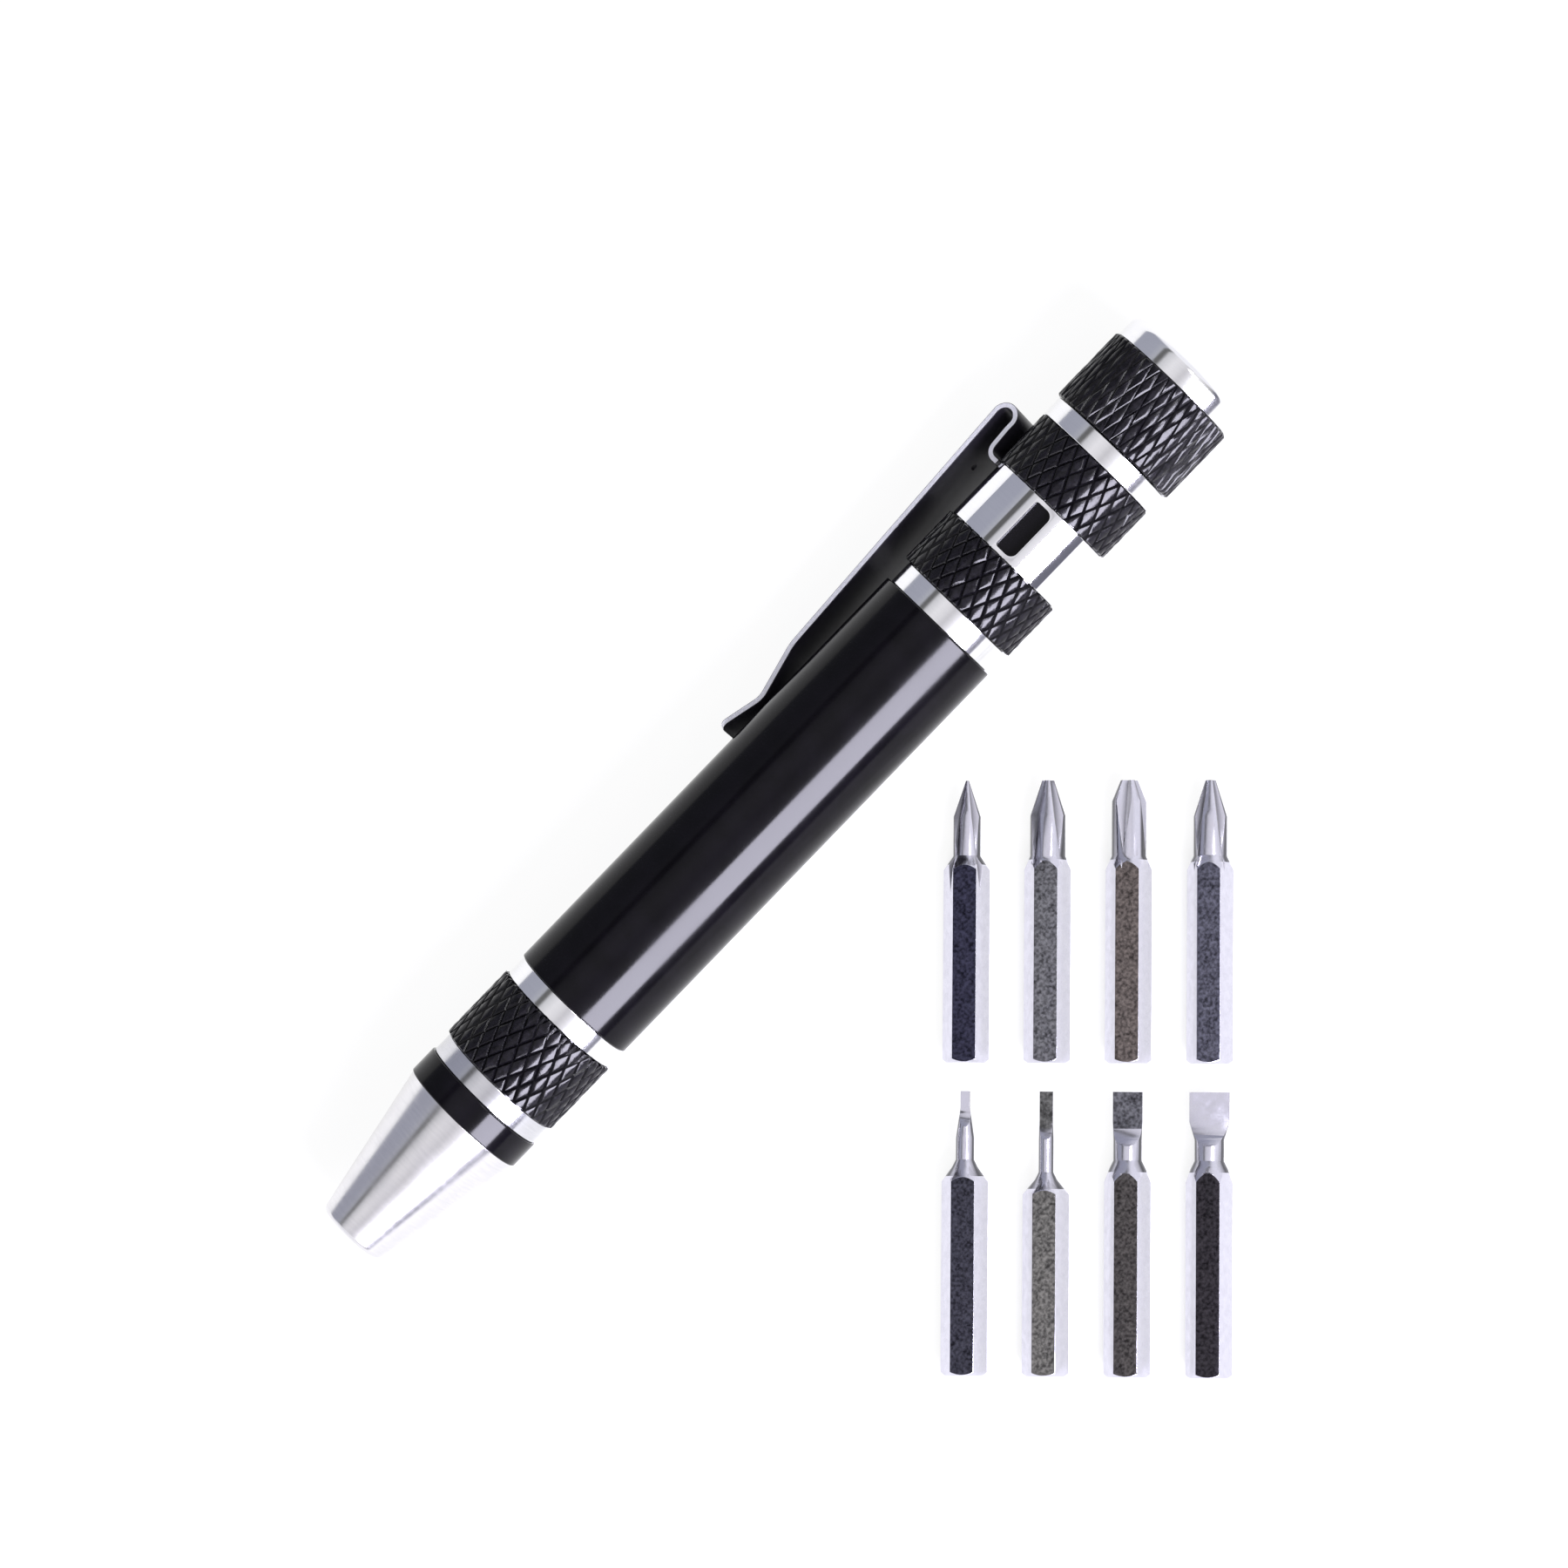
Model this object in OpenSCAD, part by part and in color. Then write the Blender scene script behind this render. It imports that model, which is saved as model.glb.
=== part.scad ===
// Pocket screwdriver: a pen-sized driver with a spring clip, a swivel end cap and
// eight loose hex bits. It lies on a table with its axis along X, nose at X = 0.

/* [Nose] */
// Length of the bright nose cone
cone_len = 16.1; // [14:0.1:18]
// Diameter of the cone at its tip
tip_d = 7.6; // [7.4:0.1:8.4]
// Diameter of the cone at its big end
cone_d = 13.6; // [13:0.1:14]
// Rounding of the lip round the bit socket
lip_r = 0.6; // [0.3:0.05:0.7]
// Length of the cone's spigot inside the barrel
cone_spigot_len = 15.5; // [8:0.5:18]

/* [Bit socket] */
// Outside diameter of the socket sleeve
socket_d = 6; // [5.6:0.1:6.2]
// Depth of the hexagonal hole
socket_depth = 19; // [15:0.5:20]
// How far the sleeve sits back from the cone's tip
socket_inset = 0.3; // [0:0.1:1]
// Depth of the chamfer at the mouth of the hexagonal hole
socket_chamfer = 0.4; // [0.1:0.1:0.6]
// Diameter of the magnet behind the bit
magnet_d = 3.8; // [3:0.1:4.2]
// Thickness of the magnet
magnet_len = 2; // [1:0.1:4]

/* [Front grip] */
// Length of the black ring next to the cone
front_ring_len = 3; // [2:0.1:5]
// Diameter of the black ring next to the cone
front_ring_d = 13.85; // [13.4:0.05:14.2]
// Length of the first bright ring
bright_1_len = 2.2; // [1:0.1:4]
// Diameter of the first bright ring
bright_1_d = 13.4; // [13:0.05:13.8]
// Length of the front knurled grip
front_grip_len = 8.3; // [6:0.1:12]
// Diameter over the fine knurls
grip_d = 14.1; // [13.8:0.05:14.4]
// Length of the second bright ring
bright_2_len = 2.3; // [1:0.1:4]
// Diameter of the second bright ring
bright_2_d = 13.4; // [13:0.05:13.8]

/* [Barrel] */
// Length of the smooth black barrel
barrel_len = 51.9; // [48:0.1:60]
// Diameter of the smooth black barrel
barrel_d = 13.8; // [13.4:0.05:14]
// Diameter of the bit store inside the barrel
bore_d = 11; // [10.7:0.05:11.2]
// Wall of the thin tube that carries the rings
spigot_wall = 0.5; // [0.4:0.05:0.6]

/* [Rear rings] */
// Length of the third bright ring
bright_3_len = 2.6; // [1:0.1:4]
// Diameter of the third bright ring, which lies in a deep groove
bright_3_d = 12.8; // [12.6:0.05:13.4]
// Length of the middle knurled grip
middle_grip_len = 6.5; // [4:0.1:10]
// Length of the clip ring
clip_ring_len = 6.9; // [6.2:0.1:9]
// Diameter of the clip ring
clip_ring_d = 13.5; // [13.2:0.05:13.9]
// Length of the rear knurled grip
rear_grip_len = 6.3; // [5.6:0.1:9]
// Length of the fourth bright ring
bright_4_len = 2.2; // [1:0.1:4]
// Diameter of the fourth bright ring
bright_4_d = 14.1; // [13.6:0.05:14.4]
// Length of the window in the clip ring
window_len = 5.9; // [4:0.1:5.9]
// Width of the window in the clip ring
window_w = 2.2; // [1.5:0.1:4]
// Radius of the window's two corners on the clip's side
window_near_r = 0.35; // [0.1:0.05:0.5]
// Radius of the window's two corners away from the clip
window_far_r = 0.8; // [0.1:0.05:0.9]
// Angle from the top of the barrel to the middle of the window, towards the clip
window_turn = -5; // [-30:1:30]
// Chamfer on the edges of the rings and grips
edge = 0.15; // [0.05:0.05:0.25]

/* [Clip] */
// Thickness of the clip's strip
strip_t = 0.6; // [0.4:0.05:0.6]
// Width of the strip at its bend
strip_w = 7.2; // [5:0.1:7.6]
// Width of the strip at its tip
strip_tip_w = 5.4; // [4:0.1:7]
// Reach of the bend past the clip ring's tail edge
bend_reach = 4.9; // [4.4:0.1:5.8]
// Height of the clip's outside above the axis, at the bend
bend_h = 10.7; // [10.3:0.1:11.5]
// Gap from the rear grip up to the clip's inner leg
leg_gap = 0.6; // [0.4:0.1:1]
// Length of the clip's arm, from the bend to the tip
arm_len = 43.1; // [36:0.1:48]
// Distance from the tip to the point that presses on the barrel
press_back = 4.9; // [3.5:0.1:7]
// Distance from the tip to the knee of the arm
knee_back = 10.8; // [9:0.1:14]
// Height of the knee's outside above the axis
knee_h = 9.25; // [8.8:0.05:9.6]
// Height of the flared tip's outside above the axis
flare_h = 8.9; // [8.2:0.05:9]
// Bend radius at the knee
knee_r = 6; // [3:0.5:8]
// Bend radius where the clip presses on the barrel
press_r = 2.6; // [1.5:0.1:4]
// Bend radius between the clip's foot and its inner leg
foot_r = 1.1; // [0.4:0.05:1.1]
// Length of the slope from the clip's foot up to its inner leg
foot_run = 3; // [1.6:0.1:3.2]
// Rise of that slope
foot_rise = 0.25; // [0.1:0.05:0.3]
// Radius of the corners at the tip
tip_corner_r = 1; // [0.5:0.1:2]

/* [End cap] */
// Length of the coarse knurled shell
shell_len = 8.4; // [7:0.1:12]
// Diameter over the coarse knurl
shell_d = 14.85; // [14.5:0.05:15.4]
// Length of the bright end
end_len = 2.7; // [2:0.1:4]
// Diameter of the bright end
end_d = 14.35; // [14:0.05:14.8]
// Rounding of the bright end
end_r = 1; // [0.4:0.1:1.6]
// Length of the plug inside the rear rings
plug_len = 11; // [8:0.5:14]
// Diameter of the screw that the shell turns on
screw_d = 4; // [3:0.5:5]
// Diameter of that screw's head
head_d = 7; // [6:0.5:8]
// Height of that screw's head
head_len = 1.6; // [1:0.1:2]
// Size of that screw's drive recess across its corners
recess_d = 2; // [1.5:0.1:2.5]
// Depth of that screw's drive recess
recess_len = 0.8; // [0.4:0.1:0.9]
// Thickness of the shell's floor under the screw's head
shell_floor = 3; // [2:0.5:4]
// Wall of the shell round the screw's head
shell_wall = 1.6; // [1.2:0.1:2.4]
// Thickness of the sealing ring
seal_t = 1.2; // [0.8:0.1:1.4]

/* [Bits] */
// Size of the hexagonal shank across its flats
bit_af = 4; // [3.8:0.05:4]
// Length of a bit
bit_len = 28; // [26:0.5:32]
// Length of a bit past its hexagonal shank
bit_tip_len = 9; // [8.5:0.5:11]
// Length of the cone between a hexagonal shank and its round body
bit_shoulder = 1.5; // [0.6:0.1:2]
// Length of the next cone, down to the shaft of a slot bit
bit_neck = 0.75; // [0.4:0.05:1]
// Chamfer at the base of a hexagonal shank
bit_chamfer = 0.4; // [0.2:0.05:0.6]
// Distance between neighbouring bits
bit_pitch = 8.05; // [6:0.05:10]
// Distance between the two rows of bits
bit_row_gap = 2.8; // [1:0.1:8]
// Place of the bits' middle along the driver
bits_x = 62; // [50:1:80]
// Distance from the driver's axis to the bits' middle
bits_y = 41.2; // [40:0.1:60]
// Angle between the driver's axis and the bits
bits_turn = 44; // [0:1:90]

/* [Cross bits] */
// Body diameter of the fine cross bit
fine_d = 2.7; // [2.4:0.1:3.4]
// Diameter of the fine cross bit's point
fine_point_d = 0.3; // [0.2:0.05:0.8]
// Length of the fine cross bit's point
fine_point_len = 3.6; // [2:0.1:4.2]
// Body diameter of the large cross bit
large_d = 3.5; // [3:0.1:3.7]
// Diameter of the large cross bit's point
large_point_d = 1.2; // [0.6:0.05:1.4]
// Length of the large cross bit's point
large_point_len = 3.5; // [1.5:0.1:4.2]
// Body diameter of the blunt cross bit
blunt_d = 3.4; // [3:0.1:3.7]
// Diameter of the blunt cross bit's point
blunt_point_d = 1.7; // [1:0.05:2]
// Length of the blunt cross bit's point
blunt_point_len = 2.1; // [1.5:0.1:3.5]
// Body diameter of the small cross bit
small_d = 3.3; // [3:0.1:3.7]
// Diameter of the small cross bit's point
small_point_d = 1; // [0.5:0.05:1.2]
// Length of the small cross bit's point
small_point_len = 3.6; // [1.5:0.1:4.2]
// Angle that the blunt cross bit's wings are turned from its shank
blunt_turn = 30; // [0:5:45]
// Length of the flutes of the cross bits
flute_len = 7; // [5:0.1:7]
// Thickness of the wings of the cross bits at the point
wing_t = 0.42; // [0.3:0.02:0.5]
// Thickness of the fine cross bit's wings at the point
fine_wing_t = 0.2; // [0.16:0.02:0.3]

/* [Slot bits] */
// Shaft diameter of the needle slot bit
needle_d = 1.8; // [1.4:0.1:2.4]
// Blade width of the needle slot bit
needle_w = 0.9; // [0.7:0.05:1.2]
// Blade thickness of the needle slot bit
needle_t = 0.25; // [0.15:0.05:0.4]
// Length of the needle slot bit's flats
needle_flat_len = 1.6; // [1:0.1:2]
// Length of the needle slot bit's taper
needle_taper_len = 3; // [2:0.1:5.6]
// Length of the narrow slot bit past its hexagonal shank
narrow_tip_len = 10.2; // [9:0.1:11]
// Shaft diameter of the narrow slot bit
narrow_d = 1.45; // [1.2:0.05:2]
// Blade width of the narrow slot bit
narrow_w = 1.3; // [1:0.05:1.4]
// Blade thickness of the narrow slot bit
narrow_t = 0.3; // [0.2:0.05:0.5]
// Shaft diameter of the medium slot bit
medium_d = 2.8; // [2:0.1:3]
// Blade width of the medium slot bit
medium_w = 2.9; // [2.5:0.05:3.4]
// Blade thickness of the medium slot bit
medium_t = 0.5; // [0.3:0.05:0.7]
// Shaft diameter of the wide slot bit
wide_d = 2.9; // [2.6:0.1:3.6]
// Blade width of the wide slot bit
wide_w = 3.9; // [3.5:0.05:4]
// Blade thickness of the wide slot bit
wide_t = 0.6; // [0.4:0.05:0.8]
// Length of the flats on a slot bit's blade
flat_len = 2.9; // [1.5:0.1:3.4]
// Length over which a blade's head swells from its shaft
swell_len = 1.8; // [1:0.1:2.4]
// Radius of the grinding wheel that hollows the blades
grind_r = 3.2; // [2:0.1:5]

/* [Hidden] */

// Clearances and the one overrun of every cut
overrun = 0.5;
bit_clear = 0.05;
run_clear = 0.05;
seam_clear = 0.1;
press_clear = 0.06;
flex_clear = 0.05;
table_clear = 0.05;
notch_clear = 0.05;
seal_clear = 0.03;

// Smoothness of turned parts, small rounds and the arcs of outlines
turn_fn = 96;
small_fn = 48;
arc_steps = 10;
hex_sides = 6;
flutes = 4;
columns = 4;

// Radii
tip_radius = tip_d / 2;
cone_radius = cone_d / 2;
bore_radius = bore_d / 2;
spigot_radius = bore_radius + spigot_wall;
socket_radius = socket_d / 2;
magnet_radius = magnet_d / 2;
grip_radius = grip_d / 2;
barrel_radius = barrel_d / 2;
clip_ring_radius = clip_ring_d / 2;
shell_radius = shell_d / 2;
screw_radius = screw_d / 2;
head_radius = head_d / 2;
plug_radius = bore_radius - run_clear;
seal_groove_radius = bore_radius - seal_clear - seal_t;
shell_inner_radius = shell_radius - shell_wall;
bit_corner_radius = bit_af / 2 / cos(180 / hex_sides);

// Stations along the driver, from the nose to the tail
x_front_ring = cone_len;
x_bright_1 = x_front_ring + front_ring_len;
x_front_grip = x_bright_1 + bright_1_len;
x_bright_2 = x_front_grip + front_grip_len;
x_barrel = x_bright_2 + bright_2_len;
x_bright_3 = x_barrel + barrel_len;
x_middle_grip = x_bright_3 + bright_3_len;
x_clip_ring = x_middle_grip + middle_grip_len;
x_rear_grip = x_clip_ring + clip_ring_len;
x_bright_4 = x_rear_grip + rear_grip_len;
x_mouth = x_bright_4 + bright_4_len;
x_shell = x_mouth + seam_clear;
x_end = x_shell + shell_len;
x_tail = x_end + end_len;
x_magnet = socket_inset + socket_depth;
x_socket_back = x_magnet + magnet_len;
x_cone_back = cone_len + cone_spigot_len;
x_plug = x_mouth - plug_len;
x_seal = x_plug + seal_t;
x_screw_seat = x_shell + shell_floor;
x_screw_tip = x_mouth - screw_d;
echo(bit_store_length = x_plug - x_cone_back, overall_length = x_tail);

// The table that the driver and the bits lie on
table_z = -shell_radius;

// The clip's strip, drawn in the plane of the axis (x) and the height above it (y)
strip_half = strip_t / 2;
leg_y = grip_radius + leg_gap + strip_half;
bend_top_y = bend_h - strip_half;
bend_radius = (bend_top_y - leg_y) / 2;
bend_x = x_rear_grip + bend_reach - bend_radius - strip_half;
bend_y = leg_y + bend_radius;
foot_x = x_rear_grip - notch_clear - strip_half;
foot_y = spigot_radius + notch_clear;
foot_top_y = leg_y - foot_rise;
clip_tip_x = x_rear_grip + bend_reach - arm_len;
knee = [clip_tip_x + knee_back, knee_h - strip_half];
press = [clip_tip_x + press_back, barrel_radius + press_clear + strip_half];
flare = [clip_tip_x, flare_h - strip_half];
arm_top = [bend_x, bend_top_y];
arm_dir = (knee - arm_top) / norm(knee - arm_top);
stub_len = strip_t;
flex = arm_top + arm_dir * (stub_len + strip_half + flex_clear);

// The driver has rolled until the lower edge of the clip's bend meets the table
edge_reach = norm([bend_h, strip_w / 2]);
clip_roll = asin((shell_radius - table_clear) / edge_reach) - atan2(strip_w / 2, bend_h);
echo(clip_roll = clip_roll, flex = flex);

function unit(v) = v / norm(v);
function backwards(list) = [for (i = [len(list) - 1:-1:0]) list[i]];

// Points of an arc about a centre
function arc(centre, r, from, to) = [
    for (i = [0:arc_steps])
        let (a = from + (to - from) * i / arc_steps)
            centre + r * [cos(a), sin(a)]
];

// Points of the arc of radius r that rounds the corner at b, between a and c
function corner(a, b, c, r) =
    let (
        u = unit(a - b),
        w = unit(c - b),
        half = acos(u * w) / 2,
        centre = b + unit(u + w) * r / sin(half),
        p = b + u * r / tan(half) - centre,
        q = b + w * r / tan(half) - centre,
        from = atan2(p.y, p.x),
        turn = (atan2(q.y, q.x) - from + 540) % 360 - 180
    )
    arc(centre, r, from, from + turn);

// The direction square to a path at its point i
function normal(path, i) =
    let (
        before = path[max(i - 1, 0)],
        after = path[min(i + 1, len(path) - 1)],
        d = unit(after - before)
    )
    [-d.y, d.x];
function shifted(path, by) = [for (i = [0:len(path) - 1]) path[i] + normal(path, i) * by];
function strip_outline(path) = concat(shifted(path, strip_half), backwards(shifted(path, -strip_half)));

// Turns a profile of [radius, x] points about the driver's axis
module turned(points) {
    rotate([0, 90, 0])
        rotate_extrude($fn = turn_fn)
            polygon(points);
}

// A straight round rod along X
module rod(x, length, r, sides = small_fn) {
    translate([x, 0, 0])
        rotate([0, 90, 0])
            cylinder(h = length, r = r, $fn = sides);
}

// A ring on the barrel's thin tube, with both outer edges chamfered
module ring(x, length, d) {
    r = d / 2;
    turned([
        [spigot_radius, x],
        [r - edge, x],
        [r, x + edge],
        [r, x + length - edge],
        [r - edge, x + length],
        [spigot_radius, x + length]
    ]);
}

// Turns what is drawn in the clip's plane to where the clip lies
module in_clip_plane() {
    rotate([-clip_roll, 0, 0])
        children();
}

module nose_cone() {
    lip = arc([tip_radius - lip_r, lip_r], lip_r, -90, 0);
    color("gainsboro")
        turned(concat(
            [[socket_radius, x_socket_back], [socket_radius, 0]],
            lip,
            [
                [cone_radius, cone_len],
                [bore_radius, cone_len],
                [bore_radius, x_cone_back],
                [0, x_cone_back],
                [0, x_socket_back]
            ]
        ));
}

module bit_socket() {
    hole_af = bit_af + 2 * bit_clear;
    hole_radius = hole_af / 2 / cos(180 / hex_sides);
    color("silver")
        difference() {
            rod(socket_inset, socket_depth + magnet_len, socket_radius);
            rotate([90, 0, 0])
                rod(socket_inset - overrun, socket_depth + overrun, hole_radius, hex_sides);
            rod(x_magnet - overrun, magnet_len + 2 * overrun, magnet_radius);
            translate([socket_inset, 0, 0])
                rotate([0, 90, 0])
                    cylinder(
                        h = socket_chamfer,
                        r1 = hole_af / 2 + socket_chamfer,
                        r2 = hole_af / 2,
                        $fn = small_fn
                    );
        }
}

module socket_magnet() {
    color("dimgray")
        rod(x_magnet, magnet_len, magnet_radius);
}

module front_ring() {
    color("#17171b")
        ring(x_front_ring, front_ring_len, front_ring_d);
}

module bright_ring_1() {
    color("gainsboro")
        ring(x_bright_1, bright_1_len, bright_1_d);
}

module front_grip() {
    color("#202025")
        ring(x_front_grip, front_grip_len, grip_d);
}

module bright_ring_2() {
    color("gainsboro")
        ring(x_bright_2, bright_2_len, bright_2_d);
}

module barrel() {
    color("#17171b")
        turned([
            [bore_radius, x_front_ring],
            [spigot_radius, x_front_ring],
            [spigot_radius, x_barrel],
            [barrel_radius - edge, x_barrel],
            [barrel_radius, x_barrel + edge],
            [barrel_radius, x_bright_3 - edge],
            [barrel_radius - edge, x_bright_3],
            [spigot_radius, x_bright_3],
            [spigot_radius, x_mouth],
            [bore_radius, x_mouth]
        ]);
}

module bright_ring_3() {
    color("gainsboro")
        ring(x_bright_3, bright_3_len, bright_3_d);
}

module middle_grip() {
    color("#202025")
        ring(x_middle_grip, middle_grip_len, grip_d);
}

// The window, drawn flat and pushed down through the top of the ring
module window() {
    half_len = window_len / 2;
    half_w = window_w / 2;
    near = [half_len - window_near_r, half_w - window_near_r];
    far = [half_len - window_far_r, half_w - window_far_r];
    rotate([-window_turn, 0, 0])
        translate([x_clip_ring + clip_ring_len / 2, 0, 0])
            linear_extrude(clip_ring_radius + overrun)
                polygon(concat(
                    arc([near.x, near.y], window_near_r, 0, 90),
                    arc([-near.x, near.y], window_near_r, 90, 180),
                    arc([-far.x, -far.y], window_far_r, 180, 270),
                    arc([far.x, -far.y], window_far_r, 270, 360)
                ));
}

module clip_ring() {
    notch_x = foot_x - strip_half - notch_clear;
    notch_w = strip_w + 2 * notch_clear;
    color("white")
        difference() {
            ring(x_clip_ring, clip_ring_len, clip_ring_d);
            window();
            in_clip_plane()
                translate([notch_x, 0, -notch_w / 2])
                    cube([x_rear_grip - notch_x + overrun, clip_ring_d, notch_w]);
        }
}

// The strip's foot, inner leg and bend, up to a short stub of the arm
module clip_root() {
    foot = [foot_x, foot_y];
    foot_top = [foot_x, foot_top_y];
    leg_start = [foot_x + foot_run, leg_y];
    leg_end = [bend_x, leg_y];
    stub_end = arm_top + arm_dir * stub_len;
    path = concat(
        [foot],
        corner(foot, foot_top, leg_start, foot_r),
        corner(foot_top, leg_start, leg_end, foot_r),
        arc([bend_x, bend_y], bend_radius, -90, 90),
        [stub_end]
    );
    color("#26262b")
        in_clip_plane()
            linear_extrude(strip_w, center = true)
                polygon(strip_outline(path));
}

// The strip's long arm, narrower towards its flared tip, with a round end at the flex line
module clip_arm() {
    path = concat(
        [flex],
        corner(flex, knee, press, knee_r),
        corner(knee, press, flare, press_r),
        [flare]
    );
    over = atan2(-arm_dir.x, arm_dir.y);
    round_end = arc(flex, strip_half, over, over - 180);
    color("#26262b")
        in_clip_plane()
            intersection() {
                linear_extrude(strip_w, center = true)
                    polygon(concat(strip_outline(path), round_end));
                rotate([-90, 0, 0])
                    linear_extrude(bend_h)
                        arm_plan();
            }
}

// The arm seen from above it, with rounded corners at the tip
module arm_plan() {
    x_tip = clip_tip_x - strip_half;
    x_wide = flex.x + strip_t;
    tip_half = strip_tip_w / 2;
    wide_half = strip_w / 2;
    difference() {
        polygon([[x_tip, -tip_half], [x_wide, -wide_half], [x_wide, wide_half], [x_tip, tip_half]]);
        for (side = [-1, 1])
            translate([x_tip, side * tip_half])
                difference() {
                    square(2 * tip_corner_r, center = true);
                    translate([tip_corner_r, -side * tip_corner_r])
                        circle(tip_corner_r, $fn = small_fn);
                }
    }
}

module rear_grip() {
    color("#202025")
        ring(x_rear_grip, rear_grip_len, grip_d);
}

module bright_ring_4() {
    color("gainsboro")
        ring(x_bright_4, bright_4_len, bright_4_d);
}

// The plug that closes the bit store, held by its sealing ring and tapped for the screw
module cap_plug() {
    color("gray")
        difference() {
            turned([
                [0, x_plug],
                [plug_radius - edge, x_plug],
                [plug_radius, x_plug + edge],
                [plug_radius, x_seal],
                [seal_groove_radius, x_seal],
                [seal_groove_radius, x_seal + seal_t],
                [plug_radius, x_seal + seal_t],
                [plug_radius, x_mouth],
                [0, x_mouth]
            ]);
            rod(x_screw_tip, screw_d + overrun, screw_radius);
        }
}

module cap_seal() {
    color("#2a2a2a")
        rotate([0, 90, 0])
            translate([0, 0, x_seal + seal_t / 2])
                rotate_extrude($fn = turn_fn)
                    translate([seal_groove_radius + seal_t / 2, 0])
                        circle(seal_t / 2, $fn = small_fn);
}

// The shoulder screw that the shell turns on
module cap_screw() {
    head_x = x_screw_seat + seam_clear;
    color("silver")
        difference() {
            union() {
                rod(x_screw_tip, head_x - x_screw_tip, screw_radius);
                rod(head_x, head_len, head_radius);
            }
            rotate([90, 0, 0])
                rod(head_x + head_len - recess_len, recess_len + overrun, recess_d / 2, hex_sides);
        }
}

module cap_shell() {
    hole_radius = screw_radius + run_clear;
    color("#202025")
        turned([
            [hole_radius, x_shell],
            [shell_radius - 2 * edge, x_shell],
            [shell_radius, x_shell + 2 * edge],
            [shell_radius, x_end - 2 * edge],
            [shell_radius - 2 * edge, x_end],
            [shell_inner_radius, x_end],
            [shell_inner_radius, x_screw_seat],
            [hole_radius, x_screw_seat]
        ]);
}

// The bright end, with a short rim that presses into the shell
module cap_end() {
    rim_radius = shell_inner_radius - end_r;
    end_radius = end_d / 2;
    x_rim = x_end - end_len / 2;
    color("gainsboro")
        turned(concat(
            [
                [0, x_end],
                [rim_radius, x_end],
                [rim_radius, x_rim],
                [shell_inner_radius, x_rim],
                [shell_inner_radius, x_end],
                [end_radius, x_end]
            ],
            arc([end_radius - end_r, x_tail - end_r], end_r, 0, 90),
            [[0, x_tail]]
        ));
}

// The hexagonal shank, its ends turned to a cone, and the round body in front of it
module bit_body(neck_d, tip_len, profile) {
    shank_len = bit_len - tip_len;
    x_body = shank_len + bit_shoulder;
    intersection() {
        union() {
            rotate([90, 0, 0])
                rod(0, x_body, bit_corner_radius, hex_sides);
            rod(x_body, bit_len - x_body, bit_corner_radius);
        }
        turned(concat(
            [
                [0, 0],
                [bit_corner_radius - bit_chamfer, 0],
                [bit_corner_radius + bit_clear, bit_chamfer],
                [bit_corner_radius + bit_clear, shank_len],
                [neck_d / 2, x_body]
            ],
            profile
        ));
    }
}

// A cross bit: a coned round body with four V flutes that run out along it
module cross_bit(body_d, point_d, point_len, wing, turn) {
    web = wing / sqrt(2);
    slope = atan2(body_d / 2 - web, flute_len);
    reach = 2 * body_d;
    difference() {
        bit_body(body_d, bit_tip_len, [
            [body_d / 2, bit_len - point_len],
            [point_d / 2, bit_len],
            [0, bit_len]
        ]);
        for (k = [0:flutes - 1])
            rotate([turn + (k + 1 / 2) * 360 / flutes, 0, 0])
                translate([bit_len, 0, web])
                    rotate([0, slope, 0])
                        translate([-2 * flute_len, 0, 0])
                            rotate([90, 0, 90])
                                linear_extrude(2 * flute_len + body_d)
                                    polygon([[0, 0], [reach, reach], [-reach, reach]]);
    }
}

// A slot bit: a shaft that swells to a round head, ground hollow from both sides to a blade
module slot_bit(shaft_d, blade_w, blade_t, blade_len, taper_len, tip_len) {
    blade_radius = norm([blade_w, blade_t]) / 2;
    neck_d = min(shaft_d + bit_neck, bit_af - 2 * bit_clear);
    x_shaft = bit_len - tip_len + bit_shoulder + bit_neck;
    x_taper = max(bit_len - blade_len - taper_len, x_shaft + edge);
    difference() {
        bit_body(neck_d, tip_len, [
            [shaft_d / 2, x_shaft],
            [shaft_d / 2, x_taper],
            [blade_radius, bit_len - blade_len],
            [blade_radius, bit_len],
            [0, bit_len]
        ]);
        for (turn = [0, 180])
            rotate([turn, 0, 0])
                translate([bit_len - blade_len, bit_af, blade_t / 2])
                    rotate([90, 0, 0])
                        linear_extrude(2 * bit_af) {
                            translate([0, grind_r])
                                circle(grind_r, $fn = turn_fn);
                            square([blade_len + overrun, 2 * grind_r]);
                        }
    }
}

// Puts a bit in its row and column; columns count from the nose side
module in_tray(row, column) {
    x = row == 0 ? bit_row_gap / 2 : -bit_row_gap / 2 - bit_len;
    y = bit_pitch * ((columns - 1) / 2 - column);
    color("lightsteelblue")
        translate([bits_x, -bits_y, table_z + bit_af / 2])
            rotate([0, 0, bits_turn])
                translate([x, y, 0])
                    children();
}

module cross_bit_fine() {
    in_tray(0, 0)
        cross_bit(fine_d, fine_point_d, fine_point_len, fine_wing_t, 0);
}

module cross_bit_large() {
    in_tray(0, 1)
        cross_bit(large_d, large_point_d, large_point_len, wing_t, 0);
}

module cross_bit_blunt() {
    in_tray(0, 2)
        cross_bit(blunt_d, blunt_point_d, blunt_point_len, wing_t, blunt_turn);
}

module cross_bit_small() {
    in_tray(0, 3)
        cross_bit(small_d, small_point_d, small_point_len, wing_t, 0);
}

module slot_bit_needle() {
    in_tray(1, 0)
        slot_bit(needle_d, needle_w, needle_t, needle_flat_len, needle_taper_len, bit_tip_len);
}

module slot_bit_narrow() {
    in_tray(1, 1)
        slot_bit(narrow_d, narrow_w, narrow_t, flat_len, swell_len, narrow_tip_len);
}

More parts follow.
